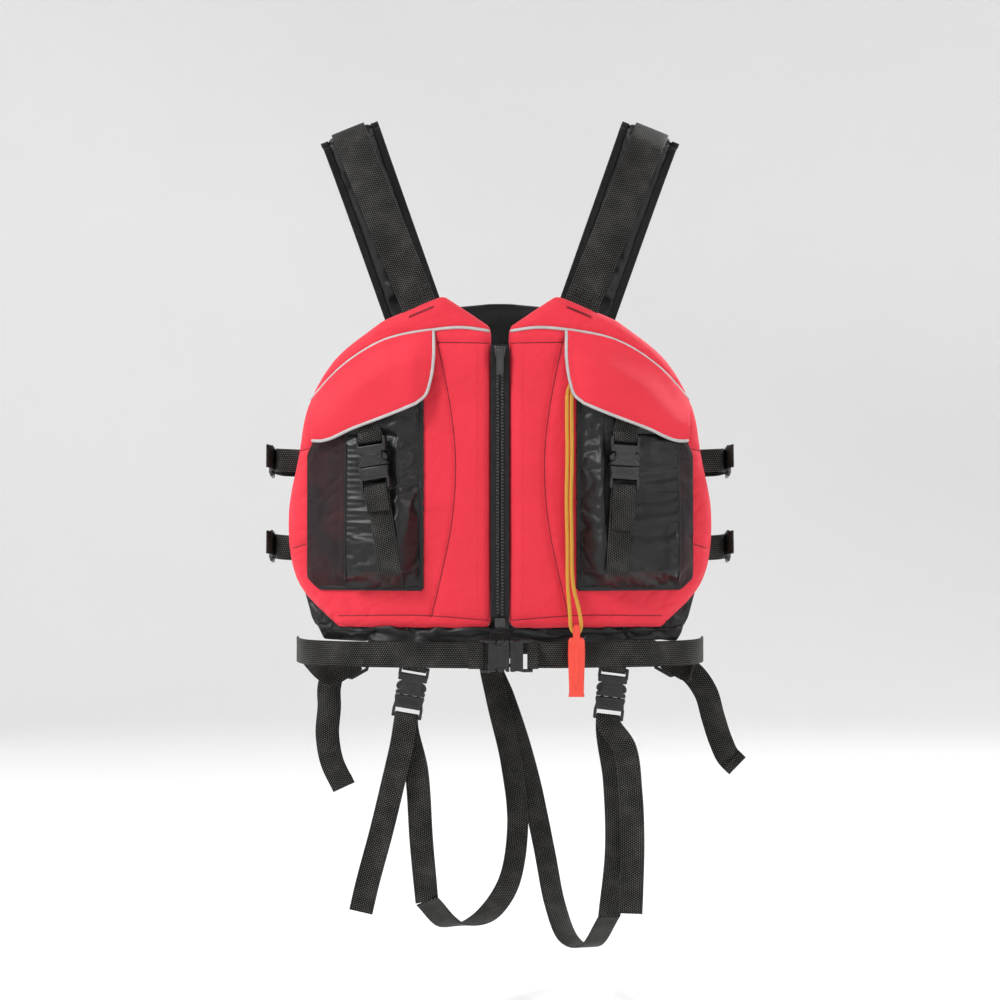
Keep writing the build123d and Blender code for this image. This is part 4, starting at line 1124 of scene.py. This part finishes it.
def folded_end(name, points, way, width, body="jacket", blend=None):
    """A web's end turned back on itself and sewn: a short double layer with a row of stitches."""
    a, b = Vector(points[0]), Vector(points[1])
    run = (b - a).normalized()
    out = Vector(way).normalized().cross(run)
    doubled = [a + out * 1.5, a + run * 5 + out * 1.6, a + run * 11 + out * 1.5]
    made = web(f"{name}_fold", doubled, way, width * 0.985, body=body, ride=blend is None)
    across = Vector(way).normalized()
    row = [a + run * 8 + across * u * width / 2 * 0.86 + out * 2.3 for u in (-1, -0.5, 0, 0.5, 1)]
    normals = np.array([out[:]] * len(row))
    run = (np.array([p[:] for p in row]), normals)
    sewn = stitches(f"{name}_fold_stitches", [run], BLACK_THREAD, 2.0, 1.0, 0.4, 0.0, body,
                    ride=blend is None)
    if blend:
        for part in (made, sewn):
            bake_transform(part)


# ---------------------------------------------------------------- pocket straps
POCKET_BUCKLE_TILT = {"left": 9.0, "right": -4.0}
POCKET_BUCKLE_X = {"left": -132.0, "right": 130.0}
POCKET_BUCKLE_Z = -359.0
POCKET_FLAT_R, POCKET_KNEE_Z = 530.5, -325
POCKET_SLOPE = (548 - POCKET_FLAT_R) / (440 + POCKET_KNEE_Z)
BUCKLE_CLEAR = 2.9


def pocket_face(x, z, above):
    r = POCKET_FLAT_R + POCKET_SLOPE * min(max(POCKET_KNEE_Z - z, 0), 115)
    return Vector(on_panel(x, z, r + above))


def pocket_place(name):
    x = POCKET_BUCKLE_X[name]
    lean = radians(POCKET_BUCKLE_TILT[name])
    out = Vector((x / PANEL_R, -sqrt(1 - (x / PANEL_R) ** 2), 0))
    up = Vector((-sin(lean), 0, cos(lean))) - out * POCKET_SLOPE
    return Place(pocket_face(x, POCKET_BUCKLE_Z, BUCKLE_T / 2 + BUCKLE_CLEAR), up, out)


def pocket_straps(surfaces):
    """The two webs and the buckle that hold each pocket closed."""
    for name in SIDES:
        place = pocket_place(name)
        plug_body = f"{name}_pocket_plug"
        nodes = (f"{name}_pocket_socket", f"{name}_pocket_plug", f"{name}_pocket_prongs")
        side_release(f"{name}_pocket", place, ("jacket", plug_body), nodes)
        x, lean = POCKET_BUCKLE_X[name], sin(radians(POCKET_BUCKLE_TILT[name]))
        (x0, z0), (x1, z1) = FLAP_HINGE
        hinge_z = z0 + (abs(x) + 12 - x0) * (z1 - z0) / (x1 - x0)
        top = [(hinge_z - 14, -4), (-290, 0.5), (-315, 1.8)]
        upper = [pocket_face(x - lean * (z - POCKET_BUCKLE_Z), z, above) for z, above in top]
        upper += bar_turn(place, SOCKET_L - BAR_R, -1)
        upper.append(place.at(0, SOCKET_L + 5, BAR_TURN + 0.6))
        web(f"{name}_pocket_upper_web", upper, place.across, WEB, replaces=("pocket_webs",))

        lower = [pocket_face(x - lean * (z - POCKET_BUCKLE_Z), z, above) for z, above in
                 ((-452, 2.6), (-430, 2.6), (-405, 2.6))]
        bag = pocket_radius(name, surfaces[name])
        foot = []
        for z, above in ((-486, 1.4), (-478, 2.0), (-469, 2.4)):
            u = x - lean * (z - POCKET_BUCKLE_Z)
            foot.append(Vector(on_panel(u, z, bag(u, z) + above)))
        lower = foot + lower
        lower += bar_turn(place, BAR_R - PLUG_L - 0.4, 1)
        tail = [(-PLUG_L - 8, 2.4), (-PLUG_L - 22, 1.4), (-PLUG_L - (24 if name == "left" else 44), 1.6)]
        lower += local_points(place, tail)
        ends = dict(start=(x * MM, -0.13, -0.47), end=(x * MM, -0.13, -0.40))
        made = web(f"{name}_pocket_lower_web", lower, place.across, WEB, replaces=("pocket_webs",),
                   ride=False)
        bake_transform(made)
        end = local_points(place, tail)[::-1][:2]
        folded_end(f"{name}_pocket_tail", end, -place.across, WEB,
                   blend=("jacket", plug_body, ends["start"], ends["end"]))


# ---------------------------------------------------------------- shoulder straps
ARCH = ((78.5, STRAP_RUN - 1.4), (72, 120), (58, 55), (34, 14), (10, 0), (-10, 0))
LOCK_S = 158.0
PAD_LEAN = 9.0


def arch(out):
    """(y, s) corners of the strap's way over the shoulder, out millimetres outside its underside."""
    corners = []
    for i, here in enumerate(ARCH):
        steps = []
        for a, b in ((ARCH[max(i - 1, 0)], here), (here, ARCH[min(i + 1, len(ARCH) - 1)])):
            length = float(np.hypot(b[0] - a[0], b[1] - a[1]))
            if length:
                steps.append(((a[1] - b[1]) / length, (b[0] - a[0]) / length))
        y, s = sum(step[0] for step in steps), sum(step[1] for step in steps)
        reach = out * len(steps) / (y * y + s * s)
        corners.append((here[0] + reach * y, here[1] + reach * s))
    return corners


def leg_way(side, pairs, across=0.0):
    return [strap_point(side, y, s, across) for y, s in pairs]


def pad_way(side, pairs, across=0.0):
    """A way on the pad, which leans out a little more than the web towards its foot at the back."""
    return [strap_point(side, y, s, across + (PAD_LEAN * s / STRAP_RUN if y > 0 else 0)) for y, s in pairs]


def shoulder_across(side):
    return (strap_point(side, 0, 0, 1) - strap_point(side, 0, 0)).normalized()


def shoulder_place(side):
    (y0, s0), (y1, s1) = arch(PAD_T + 7.2)[:2]
    y = y0 + (y1 - y0) * (LOCK_S - s0) / (s1 - s0)
    up = strap_point(side, y1, s1) - strap_point(side, y0, s0)
    return Place(strap_point(side, y, LOCK_S), up, Vector((0, 1, 0)))


def shoulder_pad(name, side):
    """A padded strap: two nylon faces, crowned across, crinkled by simulation and bound at both edges."""
    across = np.array(shoulder_across(side))
    line = smooth_path(pad_way(side, arch(PAD_T / 2)), 4.0)
    out = unit_rows(np.cross(across, np.gradient(line, axis=0)))
    shares = np.linspace(-1, 1, 14)
    ring = [(u, 1) for u in shares] + [(u, -1) for u in shares[::-1]]
    verts, pinned = [], []
    for i, (p, o) in enumerate(zip(line, out)):
        ends = min(1.0, (min(i, len(line) - 1 - i) + 1.2) / 4)
        for u, face in ring:
            thick = (1.6 + (PAD_T / 2 - 1.6) * (1 - abs(u) ** 3.2)) * ends
            verts.append(p + across * u * (PAD_W / 2 + 1) + o * face * thick)
            pinned.append(1.0 if abs(u) > 0.9 or i in (0, len(line) - 1) else 0.0)
    faces = tube_faces(len(line), len(ring))
    pad = piece(f"{name}_shoulder_pad", verts, faces, NYLON, "black_nylon", ride=False,
                replaces=("shoulder_pads",))
    settle(pad, np.array(pinned), pressure=1.2, cap=3.4, slack=0.07, frames=24, bending=0.08)
    subdivide(pad)
    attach(pad, "jacket")
    edge = (PAD_W + BINDING_W) / 2
    for label, way in (("outer", 1), ("inner", -1)):
        bound = pad_way(side, arch(PAD_T / 2), way * edge)
        web(f"{name}_pad_{label}_binding", bound, Vector(across), BINDING_W, BINDING, 5.4, slot="binding",
            curl=0.5, replaces=("pad_bindings",))


def shoulders():
    """The shoulder webs over their pads, with a ladder lock and an anchor web behind."""
    for name, side in SIDES.items():
        across = shoulder_across(side)
        shoulder_pad(name, side)
        place = shoulder_place(side)
        body = f"{name}_shoulder_lock"
        ladder_lock(body, place, body, SHOULDER_WEB)
        over = arch(PAD_T + 1.2)
        front = leg_way(side, [(-y, s) for y, s in over[:-2]] + over[:2:-1])
        base = strap_point(side, -96, STRAP_RUN + 9)
        web(f"{name}_shoulder_front_web", [base, *front], across, SHOULDER_WEB, replaces=("shoulder_webs",))
        (y0, s0), (y1, s1) = over[:2]
        rows = []
        for s in (STRAP_RUN - up for up in (18, 15, 12, 9, 6)):
            y = -(y0 + (y1 - y0) * (s - s0) / (s1 - s0)) - 0.9
            row = [strap_point(side, y, s, u) for u in (-17.5, -9, 0, 9, 17.5)]
            rows.append((np.array([p[:] for p in row]), np.array([(0, -1, 0)] * 5, float)))
        stitches(f"{name}_shoulder_stitching", rows, BLACK_THREAD, 2.2, 1.0, 0.4, 0.0)
        way = leg_way(side, over[3:0:-1])
        way += [place.at(0, 30, -5.5)] + local_points(place, LOCK_WAY[1:])
        way.append(place.at(0, 24, -3.4))
        back = web(f"{name}_shoulder_back_web", way, across, SHOULDER_WEB, replaces=("shoulder_webs",),
                   ride=False)
        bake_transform(back)
        anchor = bar_turn(place, LOCK_END_BAR, 1, LOCK_TURN)
        foot = leg_way(side, [(ARCH[0][0] + PAD_T + 2, s) for s in (STRAP_RUN - 12, STRAP_RUN + 4)])
        web(f"{name}_shoulder_anchor", anchor[::-1][:-1] + [anchor[0]] + foot, across, SHOULDER_WEB,
            replaces=("shoulder_anchors",))
        (y0, s0), (y1, s1) = arch(PAD_T + 3.2)[1:3]
        keeper = [(y0 + (y1 - y0) * t, s0 + (s1 - s0) * t) for t in (0.55, 0.7, 0.85)]
        web(f"{name}_pad_keeper", pad_way(side, keeper), across, PAD_W + 2 * BINDING_W - 1, thickness=1.2,
            slot="binding", replaces=("pad_keepers",))


# ---------------------------------------------------------------- side straps
SIDE_STRAPS = {"upper": -352.0, "lower": -445.0}
SIDE_BOW = 250.0
SIDE_EDGE = {"upper": 222.5, "lower": 231.0}


def side_straps():
    """Two straps on each side, each through a ladder lock from the front panel to the back."""
    for name, side in SIDES.items():
        for level, z in SIDE_STRAPS.items():
            place = Place((side * SIDE_BOW, 4, z), (0, -1, 0.12), (side, 0, 0))
            body = f"{name}_{level}_side_lock"
            ladder_lock(body, place, body)
            edge = SIDE_EDGE[level] - 7
            front = [Vector((side * edge, -44, z)), Vector((side * (SIDE_BOW - 12), -38, z + 1))]
            front += local_points(place, LOCK_WAY[1:])
            front += local_points(place, ((30, -3.2), (42, -1.5), (50, 1.5)))
            made = web(f"{body}_web", front, place.across, WEB, replaces=("side_webs",), ride=False)
            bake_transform(made)
            back = bar_turn(place, LOCK_END_BAR, 1, LOCK_TURN)
            back = [place.at(0, LOCK_END_BAR - 12, 1.6)] + back[::-1]
            back += [Vector((side * (SIDE_BOW - 10), 36, z - 3)), Vector((side * edge, 44, z - 4))]
            web(f"{body}_anchor", back, place.across, WEB, replaces=("side_webs",))


# ---------------------------------------------------------------- waist belt
BELT_BUCKLE_X = 10.0
BELT_LOCKS = {"left": (-168, 103, -578), "right": (193, 95, -575)}
BELT_TAILS = {
    "left": [(-194, 93, -606), (-194, 92, -628), (-196, 90, -660), (-191, 89, -690), (-177, 89, -720)],
    "right": [(232, 79, -610), (241, 78, -640), (249, 76, -665), (258, 75, -684), (268, 75, -694)],
}


def belt():
    """The waist belt: a buckle in front, a ladder lock and a hanging tail on each side."""
    up = Vector((0, 0, 1))
    place = Place((BELT_BUCKLE_X, -DEPTH / 2 - 10, BELT_Z), (-1, 0, 0), (0, -1, 0))
    side_release("belt", place, ("jacket", "belt_plug"), ("belt_socket", "belt_plug", "belt_prongs"), BELT_W)
    for name, side in SIDES.items():
        bar = SOCKET_L - BAR_R if name == "left" else BAR_R - PLUG_L - 0.4
        turn = bar_turn(place, bar, -1 if name == "left" else 1)[::-1]
        start = [place.at(0, SOCKET_L + 12 if name == "left" else -PLUG_L - 6, BAR_TURN)]
        start += turn if name == "left" else turn + [Vector(on_panel(40, BELT_Z, BELT_R - 2))]
        way = start + [Vector(on_panel(side * x, BELT_Z, BELT_R)) for x in (60, 100, 140, 150)]
        front = web(f"{name}_belt_front", way, up, BELT_W, replaces=("belt_webs",), ride=name == "left")
        if name == "right":
            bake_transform(front)
        lock_place = Place(BELT_LOCKS[name], (side, -0.35, -0.55), (side * 0.25, 1, 0))
        body = f"{name}_belt_lock"
        ladder_lock(body, lock_place, body, BELT_W)
        lock_across = lock_place.across if lock_place.across.z > 0 else -lock_place.across
        way = [Vector(on_panel(side * x, BELT_Z, BELT_R)) for x in (140, 172)]
        way += [Vector((side * 205, -62, BELT_Z)), Vector((side * 220, -20, BELT_Z)),
                Vector((side * 223, 20, BELT_Z - 1)), Vector((side * 222, 52, BELT_Z - 6))]
        ways = [up] * 5 + [(up * 2 + lock_across).normalized()]
        lock_way = local_points(lock_place, LOCK_WAY + ((26, -3.4),))
        tail = [Vector(p) for p in BELT_TAILS[name]]
        ways += [lock_across] * len(lock_way) + [Vector((side, 0.1, 0.8))]
        ways += [Vector((side, 0.1, 0.3))] * (len(tail) - 1)
        made = web(f"{name}_belt_side", way + lock_way + tail, ways, BELT_W, replaces=("belt_webs",),
                   ride=False)
        ends = (Vector((side * 223, 24, BELT_Z)) * MM, Vector((side * 218, 66, BELT_Z)) * MM)
        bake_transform(made)
        folded_end(f"{name}_belt_tail", tail[::-1][:2], ways[-1], BELT_W, blend=("jacket", body, *ends))
        loop = bar_turn(lock_place, LOCK_END_BAR, 1, LOCK_TURN)
        root = [Vector(on_panel(side * x, BELT_Z, BELT_R, 1)) for x in (120, 80, 40)]
        ways = [lock_across] * len(loop) + [up] * len(root)
        web(f"{name}_belt_anchor", loop[::-1] + root, ways, WEB, replaces=("belt_webs",))
    back = [Vector(on_panel(x, BELT_Z, BELT_R - 2, 1)) for x in (-150, -75, 0, 75, 150)]
    web("back_belt", back, up, BELT_W, replaces=("belt_webs",))


# ---------------------------------------------------------------- thigh straps
THIGH_BUCKLE = {"left": (-95, -98, -600), "right": (117, -93, -602)}
THIGH_LEAN = {"left": 0.17, "right": 0.12}
THIGH_ROUTES = {
    "left": [(-88, -103, -680), (-83, -98, -755), (-78, -72, -822), (-52, -22, -856), (-16, 34, -856),
             (10, 78, -826), (20, 100, -770), (12, 112, -690), (-4, 115.5, -620), (-12, 116.2, -578),
             (-12, 116.2, -546)],
    "right": [(121, -101, -690), (123, -100, -765), (116, -84, -836), (98, -36, -876), (76, 24, -880),
              (62, 76, -850), (50, 106, -790), (30, 120, -700), (4, 121, -620), (-12, 118.4, -578),
              (-12, 118, -546)],
}
THIGH_TAILS = {
    "left": [(-103, -110, -650), (-112, -115, -690), (-124, -118, -740), (-140, -116, -800),
             (-146, -115, -826)],
    "right": [(131, -108, -655), (137, -113, -700), (139, -116, -750), (138, -115, -800),
              (137, -114, -828)],
}


def thigh_straps():
    """Each strap hangs from the belt by its buckle, and runs between the legs to the belt's back."""
    for name in SIDES:
        centre, lean = Vector(THIGH_BUCKLE[name]), THIGH_LEAN[name]
        place = Place(centre, (lean, 0, 1), (0, -1, 0))
        body = f"{name}_thigh_plug"
        nodes = (f"{name}_thigh_socket", body, f"{name}_thigh_prongs")
        side_release(f"{name}_thigh", place, ("jacket", body), nodes)
        hanger = [centre + Vector((lean * 52, 0, 52))] + bar_turn(place, SOCKET_L - BAR_R, -1)
        hanger.append(place.at(0, SOCKET_L + 9, BAR_TURN))
        web(f"{name}_thigh_hanger", hanger, place.across, WEB, replaces=("thigh_webs",))
        route = [Vector(p) for p in THIGH_ROUTES[name]][::-1]
        split = len(route) - 3
        ways = [Vector((1, 0.3 if 2 < i < len(route) - 2 else 0, 0)) for i in range(len(route))]
        web(f"{name}_thigh_rear_run", route[:split + 1], ways[:split + 1], WEB, replaces=("thigh_webs",))
        turn = bar_turn(place, BAR_R - PLUG_L - 0.4, 1)
        tail = [Vector(p) for p in THIGH_TAILS[name]]
        run = route[split:] + turn + tail
        ways = ways[split:] + [place.across] * (len(turn) + len(tail))
        made = web(f"{name}_thigh_front_run", run, ways, WEB, replaces=("thigh_webs",), ride=False)
        ends = (Vector((centre.x, centre.y, -815)) * MM, Vector((centre.x, centre.y, -640)) * MM)
        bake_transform(made)
        folded_end(f"{name}_thigh_tail", tail[::-1][:2], -place.across, WEB, blend=("jacket", body, *ends))


# ---------------------------------------------------------------- zip
SLIDER_Z, SLIDER_H = -238.0, 12.0
PULL_Y = ZIP_Y - 8.2
TOOTH_PITCH = 3.3


def zip_fastener():
    """A moulded zip: teeth on the two tapes set off by half a pitch, slider, pull and box."""
    for name, side in SIDES.items():
        line = [(side * 5.1, ZIP_Y, z) for z in (ZIP_TOP, (ZIP_TOP + ZIP_FOOT) / 2, ZIP_FOOT)]
        web(f"{name}_zip_tape", line, Vector((1, 0, 0)), 9.4, ZIP_TAPE, 0.9, slot="binding", curl=0.1,
            replaces=("zip_tapes",))
        verts, faces = [], []
        tooth, shape = plate([rounded(0.75, -1.0, 3.9, 1.0, 0.5, 3)], -2.1, 2.1, 0.4)
        for z in np.arange(SLIDER_Z - 9, ZIP_FOOT + 3, -TOOTH_PITCH):
            first = len(verts)
            shift = 0 if side > 0 else TOOTH_PITCH / 2
            verts += [(side * x, ZIP_Y - depth, z + y + shift) for x, y, depth in tooth]
            faces += [tuple(first + i for i in (f if side > 0 else f[::-1])) for f in shape]
        made = piece(f"{name}_zip_teeth", verts, faces, ZIP_PLASTIC, "zip_plastic", replaces=("zip_teeth",))
        made.data.set_sharp_from_angle(angle=SHARP_ANGLE)
    front = Place((0, ZIP_Y, 0), (0, 0, 1), (0, -1, 0))
    box = [plate([rounded(-5.6, ZIP_FOOT - 10, 5.6, ZIP_FOOT, 2)], -2.6, 2.6, 0.7),
           plate([rounded(-1.6, ZIP_FOOT - 8, 1.6, ZIP_FOOT - 2, 0.8)], 2.3, 3.2, 0.3)]
    hardware("zip_retainer", box, front, ZIP_PLASTIC, "zip_plastic", "jacket", ("zip_box",))
    half = SLIDER_H / 2
    wings = both_sides([(5.6, SLIDER_Z + half), (6.0, SLIDER_Z + 2), (5.0, SLIDER_Z - half + 1),
                        (3.6, SLIDER_Z - half)])
    slider = [plate([wings], 2.6, 5.0, 0.8), plate([wings], -5.0, -2.6, 0.8)]
    slider.append(plate([rounded(-0.5, SLIDER_Z - half + 1, 0.5, SLIDER_Z + half - 1, 0.4)], -3.4, 3.4, 0.2))
    for x in (-4.7, 4.7):
        slider.append(plate([rounded(x - 0.7, SLIDER_Z - 2, x + 0.7, SLIDER_Z + 2, 0.6)], 4.4, 9.4, 0.3))
    hardware("zip_slider_body", slider, front, ZIP_PLASTIC, "zip_plastic", "zip_slider", ("zip_slider",))
    outer = Place((0, PULL_Y, 0), (0, 0, 1), (0, -1, 0))
    pull = [plate([rounded(-3.8, SLIDER_Z - 24.5, 3.8, SLIDER_Z + 2.5, 1.5)], -1.1, 1.1, 0.5),
            plate([rounded(-2.6, SLIDER_Z - 22.8, 2.6, SLIDER_Z - 6, 1.0)], 0.9, 1.5, 0.25)]
    hardware("zip_pull_tab", pull, outer, ZIP_PLASTIC, "zip_plastic", "zip_pull", ("zip_pull",))


# ---------------------------------------------------------------- hems and eyelets
EYELET_X, EYELET_Z, EYELET_R = 101.0, -533.0, 4.0


def hems():
    """Crinkled black gussets that close the panels below the red cloth."""
    for name, side in SIDES.items():
        corners = ((ZIP_GAP, -521), (ZIP_GAP, -543.5), (60, -547), (188, -546), (202, -520), (211, -488),
                   (198, -498), (176, -521), (ZIP_GAP, -521))
        outline = straight_path(corners, 4.0)[:-1] * (side, 1)

        def radius(x, z):
            roll = 3.6 * sin(pi * min(1.0, ease((-527 - z) / 12)))
            return PANEL_R - 13.5 + roll + 1.6 * noise(Vector((x * 0.05, z * 0.12, 6.0)))

        made = sheet_of(f"{name}_front_hem_gusset", outline, 3.4, radius, NYLON, "black_nylon", slack=0.09,
                        cap=4.0, bending=0.06, thickness=1.2, replaces=("hem_bands",),
                        free=lambda x, z: z < -530)
    corners = ((-160, -511), (-160, HEM_FOOT), (160, HEM_FOOT), (160, -511), (0, -514), (-160, -511))
    outline = straight_path(corners, 4.0)[:-1]
    holes = [(side * EYELET_X, EYELET_Z, EYELET_R + 1) for side in SIDES.values()]

    def back_radius(x, z):
        return PANEL_R - 10.5 + 0.5 * noise(Vector((x * 0.05, z * 0.12, 9.0)))

    made = sheet_of("back_hem_gusset", outline, 3.4, back_radius, NYLON, "black_nylon", facing=1, slack=0.02,
                    cap=0.8, bending=0.2, thickness=1.6, holes=holes, replaces=("hem_bands",))
    dress("hem_eyelets", BRASS)


# ---------------------------------------------------------------- bar tacks
TACK_LENGTH, TACK_TURNS = 28.0, 36


def bar_tacks(surfaces):
    """Close zigzag stitching where the shoulder webs enter the strap bases."""
    for label in ("front", "back"):
        for name, side in SIDES.items():
            surface = surfaces[name if label == "front" else "back"]
            middle = strap_point(side, 0, STRAP_RUN + 8)
            across = shoulder_across(side)
            line = []
            for k in range(TACK_TURNS + 1):
                along = -TACK_LENGTH / 2 + TACK_LENGTH * k / TACK_TURNS
                off = 1.2 if k % 2 else -1.2
                x, z = middle.x + across.x * along, middle.z + across.z * along + off
                line.append(surface.drop(x, z, 0.35)[0])
            tube(f"{name}_{label}_bar_tack", line, 0.45, BLACK_THREAD, "thread", sides=5, smooth=False,
                 step=3, replaces=("bar_tacks",))


# ---------------------------------------------------------------- whistle and lanyard
LANYARD = [
    (70.5, -112.5, -284), (70, -112.8, -306), (71, -113.2, -345), (69.5, -113, -392), (71, -113.5, -440),
    (70.5, -115, -480), (73, -118, -510), (74.1, -120, -533), (85.9, -120, -533), (83.5, -118, -510),
    (75.4, -115, -482), (75.5, -113.5, -440), (74.5, -113, -392), (75.8, -113.2, -345), (75, -112.8, -306),
    (75.3, -112.5, -284),
]
WHISTLE_X, WHISTLE_Y = 80.0, -120.0
WHISTLE_TOP, WHISTLE_FOOT = -538.0, -600.0


def lanyard():
    curve = bpy.data.curves.new("whistle_lanyard", "CURVE")
    curve.dimensions = "3D"
    spline = curve.splines.new("NURBS")
    spline.points.add(len(LANYARD) - 1)
    for point, place in zip(spline.points, LANYARD):
        point.co = (*(Vector(place) * MM), 1)
    spline.order_u = 3
    spline.use_endpoint_u = True
    spline.resolution_u = 8
    curve.bevel_depth = CORD_D / 2 * MM
    curve.bevel_resolution = 4
    curve.use_fill_caps = True
    curve.materials.append(YELLOW)
    cord = add_object("whistle_lanyard", curve)
    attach(cord, "lanyard")
    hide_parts("lanyard")


def lanyard_root(surfaces):
    """The cord's two ends go on behind the flap, into the seam they are sewn to."""
    for number, end in enumerate((LANYARD[0], LANYARD[-1])):
        way = [Vector(end) + Vector((0, 0, -1))]
        for dx, dz, above in ((0.8, 5, 5.0), (4, 12, 4.0), (9, 20, 3.0)):
            x, z = end[0] + dx, end[2] + dz
            hit, _ = surfaces["right"].drop(x, z, above)
            way.append(hit)
        tube(f"lanyard_root_{number}", way, CORD_D / 2 - 0.1, YELLOW, "lanyard_yellow", sides=12)


def whistle():
    """A flat pealess whistle: tapered body, sound window, mouthpiece ridges and two ears for the cord."""
    place = Place((WHISTLE_X, WHISTLE_Y, 0), (0, 0, 1), (0, -1, 0))
    body = both_sides([(6.4, WHISTLE_TOP), (8.6, WHISTLE_TOP - 3), (9.0, WHISTLE_TOP - 16),
                       (8.0, WHISTLE_FOOT + 16), (7.4, WHISTLE_FOOT + 4), (8.2, WHISTLE_FOOT + 3),
                       (8.2, WHISTLE_FOOT)])
    shapes = [plate([body], -5.6, 5.6, 2.2)]
    shapes.append(plate([rounded(-2.6, WHISTLE_FOOT + 14, 2.6, WHISTLE_TOP - 8, 1.8)], 5.0, 6.2, 0.5))
    for y in (WHISTLE_FOOT + 6, WHISTLE_FOOT + 9):
        shapes.append(plate([rounded(-7.9, y - 0.7, 7.9, y + 0.7, 0.6)], -5.9, 5.9, 0.5))
    for depth in (-4.5, 4.5):
        ear = rounded(-3.6, WHISTLE_TOP - 3, 3.6, WHISTLE_TOP + 13.5, 3.4)
        shapes.append(plate([ear], depth - 1.4, depth + 1.4, 0.6))
    turns = [2 * pi * k / 16 for k in range(16)]
    pin = [(2.5 * cos(a), WHISTLE_TOP + 10.3 + 2.5 * sin(a)) for a in turns]
    shapes.append(plate([pin], -5.4, 5.4, 0.3))
    hardware("whistle_body", shapes, place, ORANGE, "whistle_orange", "whistle", ("whistle",))


# ---------------------------------------------------------------- studio
def area_light(name, place, aim, size, power):
    lamp = bpy.data.lights.new(name, "AREA")
    lamp.shape = "RECTANGLE"
    lamp.size, lamp.size_y = size
    lamp.energy = power
    made = add_object(name, lamp)
    made.location = place
    made.rotation_euler = (Vector(aim) - Vector(place)).to_track_quat("-Z", "Y").to_euler()


WORLD_LIGHT, KEY_LIGHT, FILL_LIGHT, EDGE_LIGHT = 0.44, 54.0, 6.0, 9.0
SHOWN = 1.05  # metres across the picture, at the front of the jacket
JACKET_MIDDLE, CAMERA_Z = (0, 0, -0.42), -0.394
FLOOR_Z = -0.95
FLOOR_GLOW = 0.04
FLOOR_FLAT, FLOOR_TURN, WALL_TOP, FLOOR_SIDES = 3.4, 1.4, 3.0, 64


def sweep():
    """A round studio floor whose rim curves up into a plain wall, clear of every view's camera."""
    profile = [(0.0, 0.0), (FLOOR_FLAT / 2, 0.0)]
    for k in range(13):
        angle = pi / 2 * k / 12
        profile.append((FLOOR_FLAT + FLOOR_TURN * sin(angle), FLOOR_TURN * (1 - cos(angle))))
    profile.append((FLOOR_FLAT + FLOOR_TURN, WALL_TOP))
    turns = [2 * pi * k / FLOOR_SIDES for k in range(FLOOR_SIDES)]
    points = [(r * cos(a), r * sin(a), FLOOR_Z + z) for r, z in profile for a in turns]
    mesh = bpy.data.meshes.new("floor")
    mesh.from_pydata(points, [], grid_faces(len(profile), FLOOR_SIDES, wrap=True))
    mesh.shade_smooth()
    pale = Material("pale_floor", 0.9, Specular_IOR_Level=0.0)
    pale.colours(pale.noise(pale.place(), 3.0), (0.9, 0.9, 0.9), (0.93, 0.93, 0.93))
    pale.shader.inputs["Emission Color"].default_value = (1, 1, 1, 1)
    pale.shader.inputs["Emission Strength"].default_value = FLOOR_GLOW
    mesh.materials.append(pale.made)
    add_object("floor", mesh)


def studio():
    scene = bpy.context.scene
    scene.view_settings.view_transform = "Standard"
    world = bpy.data.worlds.new("studio")
    world.use_nodes = True
    world.node_tree.nodes["Background"].inputs["Color"].default_value = (1, 1, 1, 1)
    world.node_tree.nodes["Background"].inputs["Strength"].default_value = WORLD_LIGHT
    scene.world = world
    sweep()
    for facing in (-1, 1):
        label = "front" if facing < 0 else "back"
        area_light(f"{label}_key", (facing * 1.9, facing * 1.7, 1.5), JACKET_MIDDLE, (0.7, 0.7), KEY_LIGHT)
        area_light(f"{label}_fill", (-facing * 2.0, facing * 2.2, 0.3), JACKET_MIDDLE, (1.0, 1.6), FILL_LIGHT)
        area_light(f"{label}_edge", (-facing * 1.7, facing * 0.3, 0.9), JACKET_MIDDLE, (0.4, 1.2), EDGE_LIGHT)
    lens = bpy.data.cameras.new("camera")
    lens.lens = 85
    camera = add_object("camera", lens)
    distance = SHOWN * lens.lens / lens.sensor_width
    camera.location = (0, -DEPTH / 2 * MM - distance, CAMERA_Z)
    camera.rotation_euler = (radians(90), 0, 0)
    scene.camera = camera


studio()
lanyard()
whistle()
surfaces = panels()
lanyard_root(surfaces)
seam_threads(surfaces)
pipings(surfaces)
flaps(surfaces)
pockets(surfaces)
pocket_straps(surfaces)
shoulders()
side_straps()
belt()
thigh_straps()
zip_fastener()
hems()
bar_tacks(surfaces)
